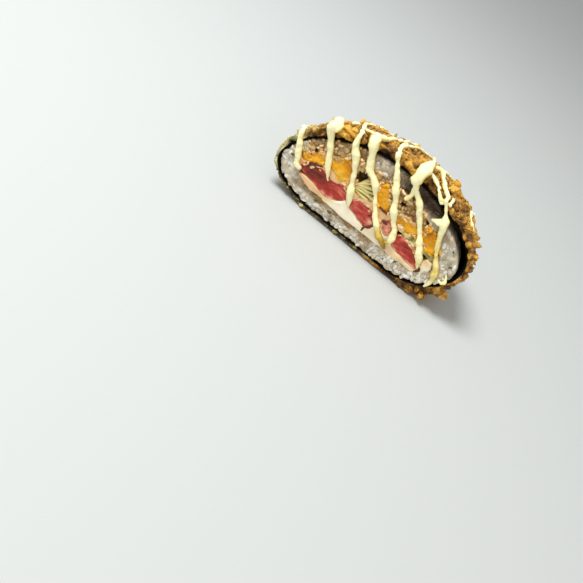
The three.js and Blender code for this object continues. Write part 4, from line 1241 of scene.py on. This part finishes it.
# Mayonnaise: an emulsion that light sinks into, nearly white where it is thick and yellower where it is
# oily, with a soft broad shine. Along the thin sides of each strand it is painted darker and yellower, as
# shade.
mayo = surface("mayonnaise")
thick = add(mayo, "TexNoise", {"Scale": 1 / (2.6 * MM), "Detail": 3})
level = mottled(mayo, 1.0, thick, middle=0.36)
yolk = add(mayo, "ValToRGB", {"Fac": level}, [
    (0.0, "#fffbdc"), (0.2, "#fdf4bc"), (0.45, "#e9d67c"), (0.7, "#caa936"), (1.0, "#937510"),
])
creamy = {"Base Color": yolk, "Roughness": 0.26, "IOR": 1.46} | sinking(0.35, (1, 0.9, 0.5), 1)
add(mayo, "OutputMaterial", {"Surface": add(mayo, "BsdfPrincipled", creamy)})
in_front = spots(mayo_mesh)[:, 1] < CUT_Y + 1
# The tone adds the oily dabs in front of the cut and painted shade along each strand's sides.
toned(mayo_mesh, dabs(mayo_mesh, OILY) * in_front + THIN_EDGE_SHADE * eased_in(sideways, 0.75, 1.1))
piece("mayonnaise", mayo_mesh, mayo, "crust")

# ---- Table, light and camera ---------------------------------------------------------------------
# A plain pale table, soft daylight from above and a little from the left, and a camera that looks down
# at the cut with its horizon tilted, as the half leans in the photograph.

FLOOR_SIZE = 4.0
VIEW_POINT = (20.92, -364.6, 203.66)  # where the camera stands
VIEW_RIGHT = (0.76681, 0.42629, 0.47987)  # the picture's sideways axis
VIEW_UP = (-0.63833, 0.42798, 0.63982)
LENS = 42.73
SENSOR = 36
LAMPS = (  # [name, direction, distance, size, power, colour]
    ("window", (-0.44, -0.19, 0.88), 0.9, 0.4, 9.2, "#ffffff"),
    ("bounce", (0.5, -0.85, 0.22), 1.1, 0.8, 2.6, "#fff0dc"),
)
AIM_HEIGHT = 0.03  # of the point that the lamps face
SKY_STRENGTH = 0.62

floor_mesh = bpy.data.meshes.new("table")
half = FLOOR_SIZE / 2
corners = [(-half, -half, 0), (half, -half, 0), (half, half, 0), (-half, half, 0)]
floor_mesh.from_pydata(corners, [], [[0, 1, 2, 3]])
floor = in_scene("table", floor_mesh)
# Painted board: plain and matt.
table = surface("pale table")
matt = {"Base Color": linear("#bfc3c2"), "Roughness": 0.7}
add(table, "OutputMaterial", {"Surface": add(table, "BsdfPrincipled", matt)})
floor_mesh.materials.append(bpy.data.materials["pale table"])

world = bpy.data.worlds.new("soft sky")
bpy.context.scene.world = world
world.use_nodes = True
sky = world.node_tree.nodes["Background"].inputs
sky["Color"].default_value = linear("#eeeeec")
sky["Strength"].default_value = SKY_STRENGTH

for name, direction, distance, size, power, colour in LAMPS:
    lamp = bpy.data.lights.new(name, "AREA")
    lamp.shape = "DISK"
    lamp.size = size
    lamp.energy = power
    lamp.color = linear(colour)[:3]
    made = in_scene(name, lamp)
    away = Vector(direction).normalized()
    made.location = away * distance + Vector((0, 0, AIM_HEIGHT))
    made.rotation_euler = away.to_track_quat("Z", "Y").to_euler()

camera_data = bpy.data.cameras.new("camera")
camera_data.lens = LENS
camera_data.sensor_width = SENSOR
camera = in_scene("camera", camera_data)
right, up = Vector(VIEW_RIGHT).normalized(), Vector(VIEW_UP).normalized()
axes = Matrix((right, up, right.cross(up))).transposed()
camera.matrix_world = Matrix.Translation(Vector(VIEW_POINT) * MM) @ axes.to_4x4()
bpy.context.scene.camera = camera
bpy.context.scene.view_settings.view_transform = "Standard"
